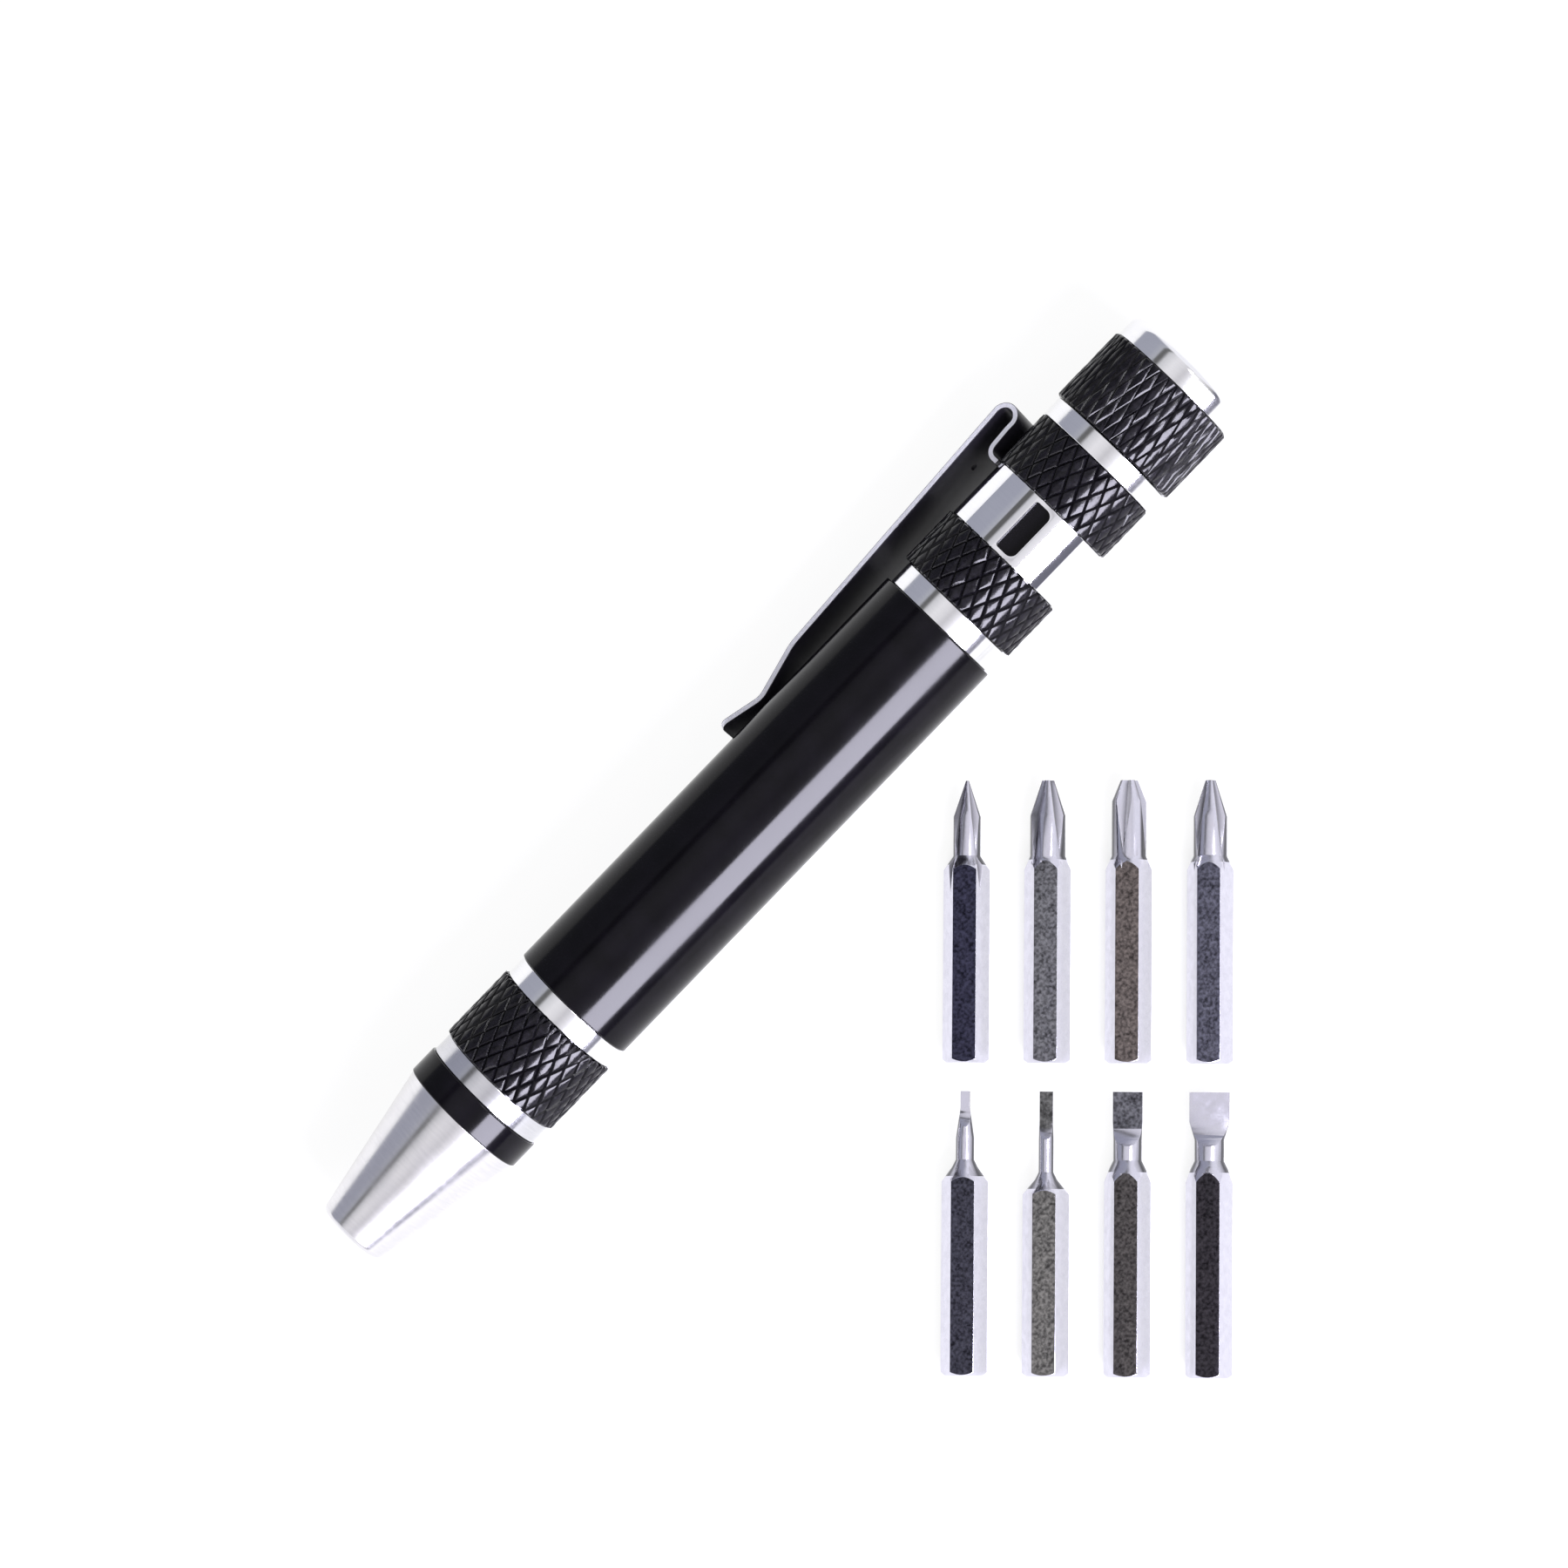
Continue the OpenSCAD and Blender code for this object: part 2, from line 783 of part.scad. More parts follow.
module slot_bit_medium() {
    in_tray(1, 2)
        slot_bit(medium_d, medium_w, medium_t, flat_len, swell_len, bit_tip_len);
}

module slot_bit_wide() {
    in_tray(1, 3)
        slot_bit(wide_d, wide_w, wide_t, flat_len, swell_len, bit_tip_len);
}

nose_cone();
bit_socket();
socket_magnet();
front_ring();
bright_ring_1();
front_grip();
bright_ring_2();
barrel();
bright_ring_3();
middle_grip();
clip_ring();
clip_root();
clip_arm();
rear_grip();
bright_ring_4();
cap_plug();
cap_seal();
cap_screw();
cap_shell();
cap_end();
cross_bit_fine();
cross_bit_large();
cross_bit_blunt();
cross_bit_small();
slot_bit_needle();
slot_bit_narrow();
slot_bit_medium();
slot_bit_wide();
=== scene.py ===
from math import atan2, cos, pi, radians, sin, tan

import bmesh
import bpy
from mathutils import Matrix, Vector


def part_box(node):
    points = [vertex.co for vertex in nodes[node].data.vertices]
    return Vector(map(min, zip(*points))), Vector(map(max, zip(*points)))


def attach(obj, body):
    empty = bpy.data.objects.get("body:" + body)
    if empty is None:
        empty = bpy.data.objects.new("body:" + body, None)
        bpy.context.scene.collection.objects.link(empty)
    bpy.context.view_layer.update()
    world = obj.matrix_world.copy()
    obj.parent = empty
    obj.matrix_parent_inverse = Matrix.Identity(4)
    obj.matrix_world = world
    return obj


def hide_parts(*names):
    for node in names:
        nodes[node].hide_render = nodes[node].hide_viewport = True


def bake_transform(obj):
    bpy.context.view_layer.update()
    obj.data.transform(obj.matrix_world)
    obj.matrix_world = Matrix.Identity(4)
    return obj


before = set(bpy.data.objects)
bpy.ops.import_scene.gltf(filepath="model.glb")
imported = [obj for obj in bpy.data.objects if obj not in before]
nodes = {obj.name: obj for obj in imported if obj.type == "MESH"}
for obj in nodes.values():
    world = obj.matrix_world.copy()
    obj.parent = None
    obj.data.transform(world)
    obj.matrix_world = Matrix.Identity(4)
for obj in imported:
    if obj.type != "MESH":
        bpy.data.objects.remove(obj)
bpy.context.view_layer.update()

mm = 0.001
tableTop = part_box("cap_shell")[0].z
tilt = radians(8.85)     # of the camera and its lamps off the table's upright, about the driver's axis
upTurn = 44              # degrees from the driver's axis to the photograph's upright, which the bits follow
upWay = Vector((cos(radians(upTurn)), sin(radians(upTurn)), 0))


# Shader maths: a socket that can be added, multiplied and compared like a number

class Wire:
    def __init__(self, tree, socket):
        self.tree = tree
        self.socket = socket

    def maths(self, operation, *others, clamp=False):
        settings = {"operation": operation, "use_clamp": clamp}
        return addNode(self.tree, "ShaderNodeMath", settings, [self, *others])

    def __add__(self, other):
        return self.maths("ADD", other)

    def __radd__(self, other):
        return self.maths("ADD", other)

    def __sub__(self, other):
        return self.maths("SUBTRACT", other)

    def __rsub__(self, other):
        return (self * -1) + other

    def __mul__(self, other):
        return self.maths("MULTIPLY", other)

    def __rmul__(self, other):
        return self.maths("MULTIPLY", other)

    def __truediv__(self, other):
        return self.maths("DIVIDE", other)

    def __rtruediv__(self, other):
        return self.maths("POWER", -1) * other

    def __gt__(self, other):
        return self.maths("GREATER_THAN", other)

    def __lt__(self, other):
        return self.maths("LESS_THAN", other)


def addNode(tree, kind, settings=None, values=None, output=0):
    # Values is a list for the first sockets, or a dictionary by socket name
    node = tree.nodes.new(kind)
    for name, value in (settings or {}).items():
        if name == "stops":
            fillRamp(node.color_ramp, value)
        else:
            setattr(node, name, value)
    pairs = values.items() if isinstance(values, dict) else enumerate(values or [])
    for key, value in pairs:
        if isinstance(value, Wire):
            tree.links.new(value.socket, node.inputs[key])
        else:
            node.inputs[key].default_value = value
    return Wire(tree, node.outputs[output])


def fillRamp(ramp, stops):
    while len(ramp.elements) > 1:
        ramp.elements.remove(ramp.elements[-1])
    ramp.elements[0].position, ramp.elements[0].color = stops[0][0], grey(stops[0][1])
    for place, colour in stops[1:]:
        ramp.elements.new(place).color = grey(colour)


def grey(colour):
    # A single number stands for a grey
    return (colour, colour, colour, 1) if isinstance(colour, (int, float)) else (*colour, 1)


def partsOf(tree, vector):
    node = addNode(tree, "ShaderNodeSeparateXYZ", values=[vector]).socket.node
    return [Wire(tree, node.outputs[axis]) for axis in "XYZ"]


def ranged(tree, value, start, end, low, high):
    # From low to high while the value goes from start to end, and level beyond
    return addNode(tree, "ShaderNodeMapRange", values={
        "Value": value, "From Min": start, "From Max": end, "To Min": low, "To Max": high})


def mixColours(tree, factor, first, second):
    first, second = (c if isinstance(c, Wire) else grey(c) for c in (first, second))
    return addNode(tree, "ShaderNodeMix", {"data_type": "RGBA"}, {0: factor, 6: first, 7: second}, output=2)


def opennessOf(tree, reach):
    # One in the open, and less near other faces
    return addNode(tree, "ShaderNodeAmbientOcclusion", values={"Distance": reach}, output="AO")


def newMaterial(name, settings):
    material = bpy.data.materials.new(name)
    material.use_nodes = True
    shader = material.node_tree.nodes["Principled BSDF"]
    for socket, value in settings.items():
        shader.inputs[socket].default_value = grey(value) if socket == "Base Color" else value
    return material, material.node_tree, shader


def plug(tree, shader, **wires):
    for name, wire in wires.items():
        tree.links.new(wire.socket, shader.inputs[name.replace("_", " ")])


# Camera, where the photograph was taken from

cameraLook = {
    "lens": 139.5,
    "above": 600 * mm,       # height over the driver's axis
    "footX": 86 * mm,        # the point of the axis right under the camera
    "aimX": 62 * mm,
    "aimY": 0.1 * mm,
    "nearest": 10 * mm,
    "furthest": 10,
}


def addCamera(look):
    camera = bpy.data.objects.new("photoCamera", bpy.data.cameras.new("photoCamera"))
    bpy.context.scene.collection.objects.link(camera)
    place = Vector((look["footX"], 0, look["above"]))
    back = (place - Vector((look["aimX"], look["aimY"], 0))).normalized()
    right = upWay.cross(back).normalized()
    up = back.cross(right)
    camera.matrix_world = (Matrix.Rotation(tilt, 4, "X") @ Matrix.Translation(place)
                           @ Matrix((right, up, back)).transposed().to_4x4())
    camera.data.lens = look["lens"]
    camera.data.clip_start = look["nearest"]
    camera.data.clip_end = look["furthest"]
    bpy.context.scene.camera = camera
    print("camera set")


# Studio: pale floor, one main soft light, and a room that the metal mirrors

floorLook = {
    "size": 3,
    "colour": (0.93, 0.93, 0.95),
    "roughness": 0.9,
    "glow": 0.93,                # share of plain white that the camera sees in the open floor
    "shadeReach": 5 * mm,        # how far from a piece the glow fades
    "shadeOpen": (0.12, 0.62),   # openness at which the glow is gone, and whole
    "mirroredFrom": -14 * mm,    # beyond this Y the floor that the metal mirrors has no shade
}


def addFloor(look):
    bpy.ops.object.select_all(action="DESELECT")
    bpy.ops.mesh.primitive_plane_add(size=look["size"], location=(0, 0, tableTop))
    floor = bpy.context.active_object
    floor.name = "paleFloor"
    bpy.ops.object.transform_apply(location=True, rotation=True, scale=True)
    settings = {"Base Color": look["colour"], "Roughness": look["roughness"]}
    material, tree, shader = newMaterial("paleFloor", settings)
    cameraRay = addNode(tree, "ShaderNodeLightPath")
    mirrored, through = (Wire(tree, cameraRay.socket.node.outputs[kind])
                         for kind in ("Is Glossy Ray", "Is Transmission Ray"))
    seen = cameraRay.maths("ADD", mirrored, clamp=True).maths("ADD", through, clamp=True)
    low, high = look["shadeOpen"]
    share = (opennessOf(tree, look["shadeReach"]) - low).maths("DIVIDE", high - low, clamp=True)
    beyond = partsOf(tree, addNode(tree, "ShaderNodeTexCoord", output="Object"))[1] < look["mirroredFrom"]
    share = share.maths("MAXIMUM", beyond * mirrored)
    glow = addNode(tree, "ShaderNodeEmission", values={"Color": grey(1), "Strength": 1})
    mixed = addNode(tree, "ShaderNodeMixShader", values=[
        seen * share * look["glow"], Wire(tree, shader.outputs[0]), glow])
    tree.links.new(mixed.socket, tree.nodes["Material Output"].inputs["Surface"])
    floor.data.materials.append(material)


# Lamps: where they aim, their swing round the upright, their turn from it towards -Y, their shift
# along their length, their length and width, radiance and colour
lampDistance = 450 * mm
lamps = {
    "keyLight": {"target": (45 * mm, 0, 0), "swing": 0, "turn": 54, "shift": 0, "length": 300 * mm,
                 "width": 290 * mm, "radiance": 38, "colour": (0.86, 0.84, 1.0)},
    "coneLight": {"target": (-240 * mm, 0, 0), "swing": 0, "turn": 54, "shift": 0, "length": 170 * mm,
                  "width": 290 * mm, "radiance": 2.4, "colour": (0.97, 0.95, 1.0)},
    "bitLight": {"target": (62 * mm, -41 * mm, -5 * mm), "swing": upTurn, "turn": 30, "shift": 48 * mm,
                 "length": 180 * mm, "width": 60 * mm, "radiance": 12, "colour": (0.97, 0.97, 1.0)},
}


def addLamps():
    for name, lamp in lamps.items():
        light = bpy.data.lights.new(name, "AREA")
        light.shape = "RECTANGLE"
        light.size, light.size_y = lamp["length"], lamp["width"]
        light.energy = lamp["radiance"] * pi * lamp["length"] * lamp["width"]
        light.color = lamp["colour"]
        holder = bpy.data.objects.new(name, light)
        holder.matrix_world = (
            Matrix.Translation(lamp["target"]) @ Matrix.Rotation(radians(lamp["swing"]), 4, "Z")
            @ Matrix.Rotation(radians(lamp["turn"]), 4, "X")
            @ Matrix.Translation((lamp["shift"], 0, lampDistance)))
        holder.visible_camera = False
        bpy.context.scene.collection.objects.link(holder)


# The room is shaded by the angle from the camera's side, in degrees, where minus is towards +Y
roomLook = {
    "bands": [
        (-120, (0.42, 0.43, 0.50)),        # grey wall towards +Y
        (-97, (0.35, 0.36, 0.43)),
        (-62, (0.36, 0.37, 0.44)),
        (-50, (0.44, 0.45, 0.50)),
        (-48.5, 0.12),                     # narrow dark board
        (-41, 0.12),
        (-37, (0.62, 0.62, 0.65)),         # pale ceiling, a little darker in its middle
        (-20, (0.83, 0.82, 0.85)),
        (-7, (0.74, 0.73, 0.76)),
        (2, (0.58, 0.57, 0.60)),
        (11, (0.72, 0.71, 0.74)),
        (24, (0.88, 0.87, 0.90)),
        (60, 0.4),
        (66, (0.16, 0.16, 0.20)),          # wide dark board towards -Y
        (86, (0.16, 0.16, 0.20)),
        (120, 0.6),
    ],
    "endGlow": (0.95, 0.95, 1.0),          # towards the driver's two ends
    "endFrom": (0.6, 0.8),
}


def addRoom(look):
    world = bpy.data.worlds.new("room")
    bpy.context.scene.world = world
    world.use_nodes = True
    tree = world.node_tree
    tree.nodes.clear()
    along, across, upward = partsOf(tree, addNode(tree, "ShaderNodeTexCoord"))
    angle = (across * -1).maths("ARCTAN2", upward) - tilt
    low, high = radians(look["bands"][0][0]), radians(look["bands"][-1][0])
    stops = [((radians(degrees) - low) / (high - low), colour) for degrees, colour in look["bands"]]
    bands = addNode(tree, "ShaderNodeValToRGB", {"stops": stops}, [(angle - low) / (high - low)])
    ends = ranged(tree, along.maths("ABSOLUTE"), *look["endFrom"], 0.0, 1.0)
    bands = mixColours(tree, ends, bands, look["endGlow"])
    room = addNode(tree, "ShaderNodeBackground", values={"Color": bands, "Strength": 1})
    white = addNode(tree, "ShaderNodeBackground", values={"Color": grey(1), "Strength": 1})
    cameraRay = addNode(tree, "ShaderNodeLightPath")
    seen = addNode(tree, "ShaderNodeMixShader", values=[cameraRay, room, white])
    output = tree.nodes.new("ShaderNodeOutputWorld")
    tree.links.new(seen.socket, output.inputs["Surface"])


def addStudio():
    bpy.context.scene.view_settings.view_transform = "Standard"
    addFloor(floorLook)
    addLamps()
    addRoom(roomLook)
    print("studio set")


# Modelling helpers. Whatever is drawn is selected, so each step goes on from the one before

mergeGap = 0.002 * mm        # corners closer than this become one
smoothTurn = 35              # degrees that a smoothly shaded edge turns at most


def beginPiece(name):
    piece = bpy.context.active_object
    piece.name = piece.data.name = name
    bpy.ops.object.transform_apply(location=True, rotation=True, scale=True)
    bpy.ops.object.mode_set(mode="EDIT")
    bpy.ops.mesh.select_mode(type="EDGE")
    bpy.ops.mesh.select_all(action="SELECT")
    return piece


def selectEdges(piece, test):
    bpy.ops.mesh.select_all(action="DESELECT")
    mesh = bmesh.from_edit_mesh(piece.data)
    for edge in mesh.edges:
        edge.select_set(test(edge))
    bmesh.update_edit_mesh(piece.data)


def selectCorners(piece, test):
    bpy.ops.mesh.select_mode(type="VERT")
    bpy.ops.mesh.select_all(action="DESELECT")
    mesh = bmesh.from_edit_mesh(piece.data)
    for corner in mesh.verts:
        corner.select_set(test(corner))
    bmesh.update_edit_mesh(piece.data)


def drawOn(here, stations):
    # Extrudes the selected loop from station to station, each an x and a radius
    for x, radius in stations:
        bpy.ops.mesh.extrude_region_move(TRANSFORM_OT_translate={"value": (x - here[0], 0, 0)})
        if radius != here[1]:
            grow = radius / here[1]
            bpy.ops.transform.resize(value=(1, grow, grow), center_override=(x, 0, 0))
        here = (x, radius)


def copyOn(times, shift=None, turn=None):
    # Copies all, and then each copy, one step further along the driver's axis or round it
    bpy.ops.mesh.select_all(action="SELECT")
    for number in range(times):
        bpy.ops.mesh.duplicate()
        if shift:
            bpy.ops.transform.translate(value=(shift, 0, 0))
        if turn:
            bpy.ops.transform.rotate(value=turn, orient_axis="X", center_override=(0, 0, 0))


def closePiece(piece, smooth=smoothTurn):
    bpy.ops.mesh.select_all(action="SELECT")
    bpy.ops.mesh.remove_doubles(threshold=mergeGap)
    bpy.ops.mesh.normals_make_consistent(inside=False)
    bpy.ops.object.mode_set(mode="OBJECT")
    smoothEdges(smooth)
    return piece


def smoothEdges(degrees=smoothTurn):
    bpy.ops.object.shade_smooth_by_angle(angle=radians(degrees))


def rollPiece(piece, degrees, x=0):
    # Turns about the driver's axis, the upright towards +Y and that towards the table
    piece.rotation_euler = (-radians(degrees), 0, 0)
    piece.location = (x, 0, 0)
    bpy.ops.object.transform_apply(location=True, rotation=True, scale=True)


def makeActive(piece):
    bpy.ops.object.select_all(action="DESELECT")
    piece.select_set(True)
    bpy.context.view_layer.objects.active = piece


def addModifier(piece, kind, settings):
    modifier = piece.modifiers.new(kind.lower(), kind)
    for name, value in settings.items():
        setattr(modifier, name, value)
    bpy.context.view_layer.objects.active = piece
    bpy.ops.object.modifier_apply(modifier=modifier.name)


def roundEdges(piece, width, segments=3, angle=30, finish=-1):
    # A finish of -1 goes on from the faces beside the edge
    addModifier(piece, "BEVEL", {
        "width": width, "segments": segments, "limit_method": "ANGLE", "angle_limit": radians(angle),
        "use_clamp_overlap": True, "material": finish})


def cutBy(piece, cutter):
    addModifier(piece, "BOOLEAN", {"object": cutter, "operation": "DIFFERENCE", "solver": "EXACT"})
    bpy.data.objects.remove(cutter)


def stand(piece, body, slot, material, *replaced):
    piece.data.materials.append(material)
    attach(piece, body)
    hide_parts(*replaced)


# Turned rings, sleeves and ends

tubeRadius = 6.0 * mm      # the barrel's thin tube, which carries the rings
storeRadius = 5.5 * mm     # inside it, where the bits are kept


def turnPiece(name, stations, solid=False, sides=180, edge=0.12 * mm):
    # Turned about the driver's axis. A solid ends in flat faces, a sleeve comes back to where it began
    bpy.ops.object.select_all(action="DESELECT")
    bpy.ops.mesh.primitive_circle_add(
        vertices=sides, radius=stations[0][1], location=(stations[0][0], 0, 0), rotation=(0, pi / 2, 0),
        fill_type="NGON" if solid else "NOTHING")
    piece = beginPiece(name)
    drawOn(stations[0], stations[1:] if solid else stations[1:] + stations[:1])
    closePiece(piece)
    roundEdges(piece, edge)
    smoothEdges()
    return piece


def ringStations(node, radius):
    low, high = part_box(node)
    return [(low.x, tubeRadius), (low.x, radius), (high.x, radius), (high.x, tubeRadius)]


def arcStations(centre, radius, start, end, steps=12):
    turns = [radians(start + (end - start) * i / steps) for i in range(steps + 1)]
    return [(centre[0] + radius * sin(t), centre[1] + radius * cos(t)) for t in turns]


rings = {
    "front_ring": {"radius": 6.925 * mm, "slot": "black_aluminium", "finish": "glossBlack"},
    "bright_ring_1": {"radius": 6.7 * mm, "slot": "bright_aluminium", "finish": "shadedSatinAluminium"},
    "bright_ring_2": {"radius": 6.7 * mm, "slot": "bright_aluminium", "finish": "brightAluminium"},
    "bright_ring_3": {"radius": 6.4 * mm, "slot": "bright_aluminium", "finish": "brightAluminium"},
    "bright_ring_4": {"radius": 7.05 * mm, "slot": "bright_aluminium", "finish": "brightAluminium"},
}


def addRings(finishes):
    for node, look in rings.items():
        ring = turnPiece(node + "_turned", ringStations(node, look["radius"]))
        stand(ring, "handle", look["slot"], finishes[look["finish"]], node)
    print("rings turned")


barrelLook = {"radius": 6.9 * mm}


def addBarrel(look, finish):
    low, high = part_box("barrel")
    front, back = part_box("bright_ring_2")[1].x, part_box("bright_ring_3")[0].x
    barrel = turnPiece("barrel_turned", [
        (low.x, storeRadius), (low.x, tubeRadius), (front, tubeRadius), (front, look["radius"]),
        (back, look["radius"]), (back, tubeRadius), (high.x, tubeRadius), (high.x, storeRadius)])
    stand(barrel, "handle", "black_aluminium", finish, "barrel")
    print("barrel turned")


coneLook = {
    "tipRadius": 3.8 * mm,
    "baseRadius": 6.8 * mm,
    "lip": 0.6 * mm,             # rounding of the tip
    "socketRadius": 3.0 * mm,    # of the sleeve that it holds
    "boreEnd": 21.3 * mm,
    "edge": 0.06 * mm,
}


def addCone(look, finish):
    low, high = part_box("nose_cone")
    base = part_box("front_ring")[0].x
    lip = look["lip"]
    cone = turnPiece("nose_cone_turned", [
        (look["boreEnd"], look["socketRadius"]), (low.x, look["socketRadius"]),
        *arcStations((low.x + lip, look["tipRadius"] - lip), lip, -90, 0),
        (base, look["baseRadius"]), (base, storeRadius), (high.x, storeRadius),
    ], solid=True, edge=look["edge"])
    stand(cone, "handle", "bright_aluminium", finish, "nose_cone")
    print("cone turned")


endLook = {
    "radius": 7.175 * mm,
    "rounding": 1 * mm,
    "rimRadius": 5.825 * mm,     # the rim reaches into the cap's shell
    "rimWall": 1 * mm,
    "rimLength": 1.35 * mm,
    "edge": 0.08 * mm,
}


def addCapEnd(look, finish):
    seam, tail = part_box("cap_shell")[1].x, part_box("cap_end")[1].x
    rimEnd = seam - look["rimLength"]
    rimInside = look["rimRadius"] - look["rimWall"]
    rounding = look["rounding"]
    capEnd = turnPiece("cap_end_turned", [
        (seam, rimInside), (rimEnd, rimInside), (rimEnd, look["rimRadius"]), (seam, look["rimRadius"]),
        (seam, look["radius"]), *arcStations((tail - rounding, look["radius"] - rounding), rounding, 0, 90),
    ], solid=True, edge=look["edge"])
    stand(capEnd, "end_cap", "bright_aluminium", finish, "cap_end")
    print("cap end turned")


# Knurled sleeves: one lozenge, copied along and round, then cut to length and closed at both ends

fineKnurl = {
    "crest": 7.05 * mm,          # radius
    "pitch": 2.95 * mm,          # along the axis
    "around": 30,
    "depth": 0.20 * mm,          # of the steep flanks
    "flank": 0.15 * mm,
    "crown": 0.065 * mm,         # the dome's height over the flanks, and its width
    "crownEdge": 0.24 * mm,
    "chamfer": 0.12 * mm,
    "endRadius": 6.80 * mm,
    "wear": 0.025 * mm,
}
coarseKnurl = {
    "crest": 7.425 * mm,
    "pitch": 4.2 * mm,
    "around": 43,
    "depth": 0.13 * mm,
    "flank": 0.13 * mm,
    "crown": 0.045 * mm,
    "crownEdge": 0.2 * mm,
    "chamfer": 0.15 * mm,
    "endRadius": 7.24 * mm,
    "wear": 0.02 * mm,
}
knurlMergeGap = 0.005 * mm
knurlSmoothTurn = 32


def addLozenge(name, knurl, x):
    step = 2 * pi / knurl["around"]
    valley = knurl["crest"] - knurl["depth"] - knurl["crown"]
    bpy.ops.object.select_all(action="DESELECT")
    bpy.ops.mesh.primitive_circle_add(vertices=4, radius=1, fill_type="NGON", location=(0, 0, 0))
    piece = beginPiece(name)
    bpy.ops.transform.resize(value=(knurl["pitch"] / 2, valley * sin(step / 2), 1), center_override=(0, 0, 0))
    bpy.ops.transform.translate(value=(x, 0, valley))
    mesh = bmesh.from_edit_mesh(piece.data)
    for corner in mesh.verts:
        if abs(corner.co.y) > knurl["flank"]:
            corner.co.z -= valley * (1 - cos(step / 2))     # its side corners lie on the valley's cylinder
    bmesh.update_edit_mesh(piece.data)
    bpy.ops.mesh.inset(thickness=knurl["flank"], depth=knurl["depth"])
    bpy.ops.mesh.inset(thickness=knurl["crownEdge"], depth=knurl["crown"])
    return piece


def closeEnd(piece, knurl, cut, face, stations):
    # Chamfers the cut end to its flat face, and draws that inwards
    selectEdges(piece, lambda edge: edge.is_boundary and
                all(abs(corner.co.x - cut) < knurl["chamfer"] / 3 for corner in edge.verts))
    bpy.ops.mesh.extrude_region_move(TRANSFORM_OT_translate={"value": (face - cut, 0, 0)})
    loop = [corner for corner in bmesh.from_edit_mesh(piece.data).verts if corner.select]
    for corner in loop:
        corner.co.x = face
        corner.co.yz = corner.co.yz.normalized() * knurl["endRadius"]
    bmesh.update_edit_mesh(piece.data)
    drawOn((face, knurl["endRadius"]), stations)


def knurlPiece(name, knurl, start, end, frontStations, backStations, shift=0):
    pitch, step, chamfer = knurl["pitch"], 2 * pi / knurl["around"], knurl["chamfer"]
    piece = addLozenge(name, knurl, start - pitch * (1 - shift))
    copyOn(1, shift=pitch / 2, turn=step / 2)
    copyOn(int((end - start) / pitch) + 2, shift=pitch)
    copyOn(knurl["around"] - 1, turn=step)
    bpy.ops.mesh.select_all(action="SELECT")
    bpy.ops.mesh.remove_doubles(threshold=knurlMergeGap)
    for cut, inward in ((start + chamfer, 1), (end - chamfer, -1)):
        bpy.ops.mesh.select_all(action="SELECT")
        bpy.ops.mesh.bisect(plane_co=(cut, 0, 0), plane_no=(inward, 0, 0), clear_inner=True)
    bpy.ops.mesh.select_all(action="SELECT")
    bpy.ops.transform.vertex_random(offset=knurl["wear"], seed=3)
    closeEnd(piece, knurl, start + chamfer, start, frontStations)
    closeEnd(piece, knurl, end - chamfer, end, backStations)
    selectEdges(piece, lambda edge: edge.is_boundary)
    bpy.ops.mesh.bridge_edge_loops()
    return closePiece(piece, knurlSmoothTurn)


gripShift = 0.3              # of a pitch, from each grip's knurl to the next one's


def addGrips(knurl, finish):
    for number, node in enumerate(("front_grip", "middle_grip", "rear_grip")):
        low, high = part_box(node)
        grip = knurlPiece(node + "_knurled", knurl, low.x, high.x, [(low.x, tubeRadius)],
                          [(high.x, tubeRadius)], shift=gripShift * number)
        stand(grip, "handle", "knurled_aluminium", finish, node)
    print("grips knurled")


shellLook = {"screwHole": 2.05 * mm, "inside": 5.825 * mm, "floor": 3 * mm}


def addShell(look, knurl, finish):
    low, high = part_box("cap_shell")
    floor = low.x + look["floor"]
    shell = knurlPiece("cap_shell_knurled", knurl, low.x, high.x, [(low.x, look["screwHole"])], [
        (high.x, look["inside"]), (floor, look["inside"]), (floor, look["screwHole"])])
    stand(shell, "end_cap", "knurled_aluminium", finish, "cap_shell")
    print("cap shell knurled")


# Clip ring: turned, then cut through for the window and for the clip's foot

clipRingLook = {
    "radius": 6.75 * mm,
    "windowLength": 5.9 * mm,
    "windowWidth": 2.2 * mm,
    "nearRounding": 0.35 * mm,   # of the window's corners on the clip's side
    "farRounding": 0.8 * mm,
    "windowTurn": -5,            # from the upright towards the clip, in degrees
    "edge": 0.07 * mm,
    "notchLength": 0.7 * mm,
    "notchGap": 0.05 * mm,       # beside the clip's foot
}


def addWindowCutter(look, x):
    bpy.ops.object.select_all(action="DESELECT")
    bpy.ops.mesh.primitive_plane_add(size=1, location=(0, 0, tubeRadius / 2))
    window = beginPiece("windowCutter")
    bpy.ops.transform.resize(value=(look["windowLength"], look["windowWidth"], 1), center_override=(0, 0, 0))
    for side, rounding in ((1, look["nearRounding"]), (-1, look["farRounding"])):
        selectCorners(window, lambda corner: corner.co.y * side > 0)
        bpy.ops.mesh.bevel(offset=rounding, segments=6, affect="VERTICES")
    bpy.ops.mesh.select_all(action="SELECT")
    bpy.ops.mesh.extrude_region_move(TRANSFORM_OT_translate={"value": (0, 0, look["radius"])})
    closePiece(window)
    rollPiece(window, look["windowTurn"], x)
    return window


def addNotchCutter(look, x):
    bpy.ops.object.select_all(action="DESELECT")
    bpy.ops.mesh.primitive_cube_add(size=1)
    notch = beginPiece("notchCutter")
    size = (2 * look["notchLength"], look["radius"], clipLook["width"] + 2 * look["notchGap"])
    bpy.ops.transform.resize(value=size, center_override=(0, 0, 0))
    bpy.ops.transform.translate(value=(x, look["radius"], 0))
    closePiece(notch)
    rollPiece(notch, clipLook["roll"])
    return notch


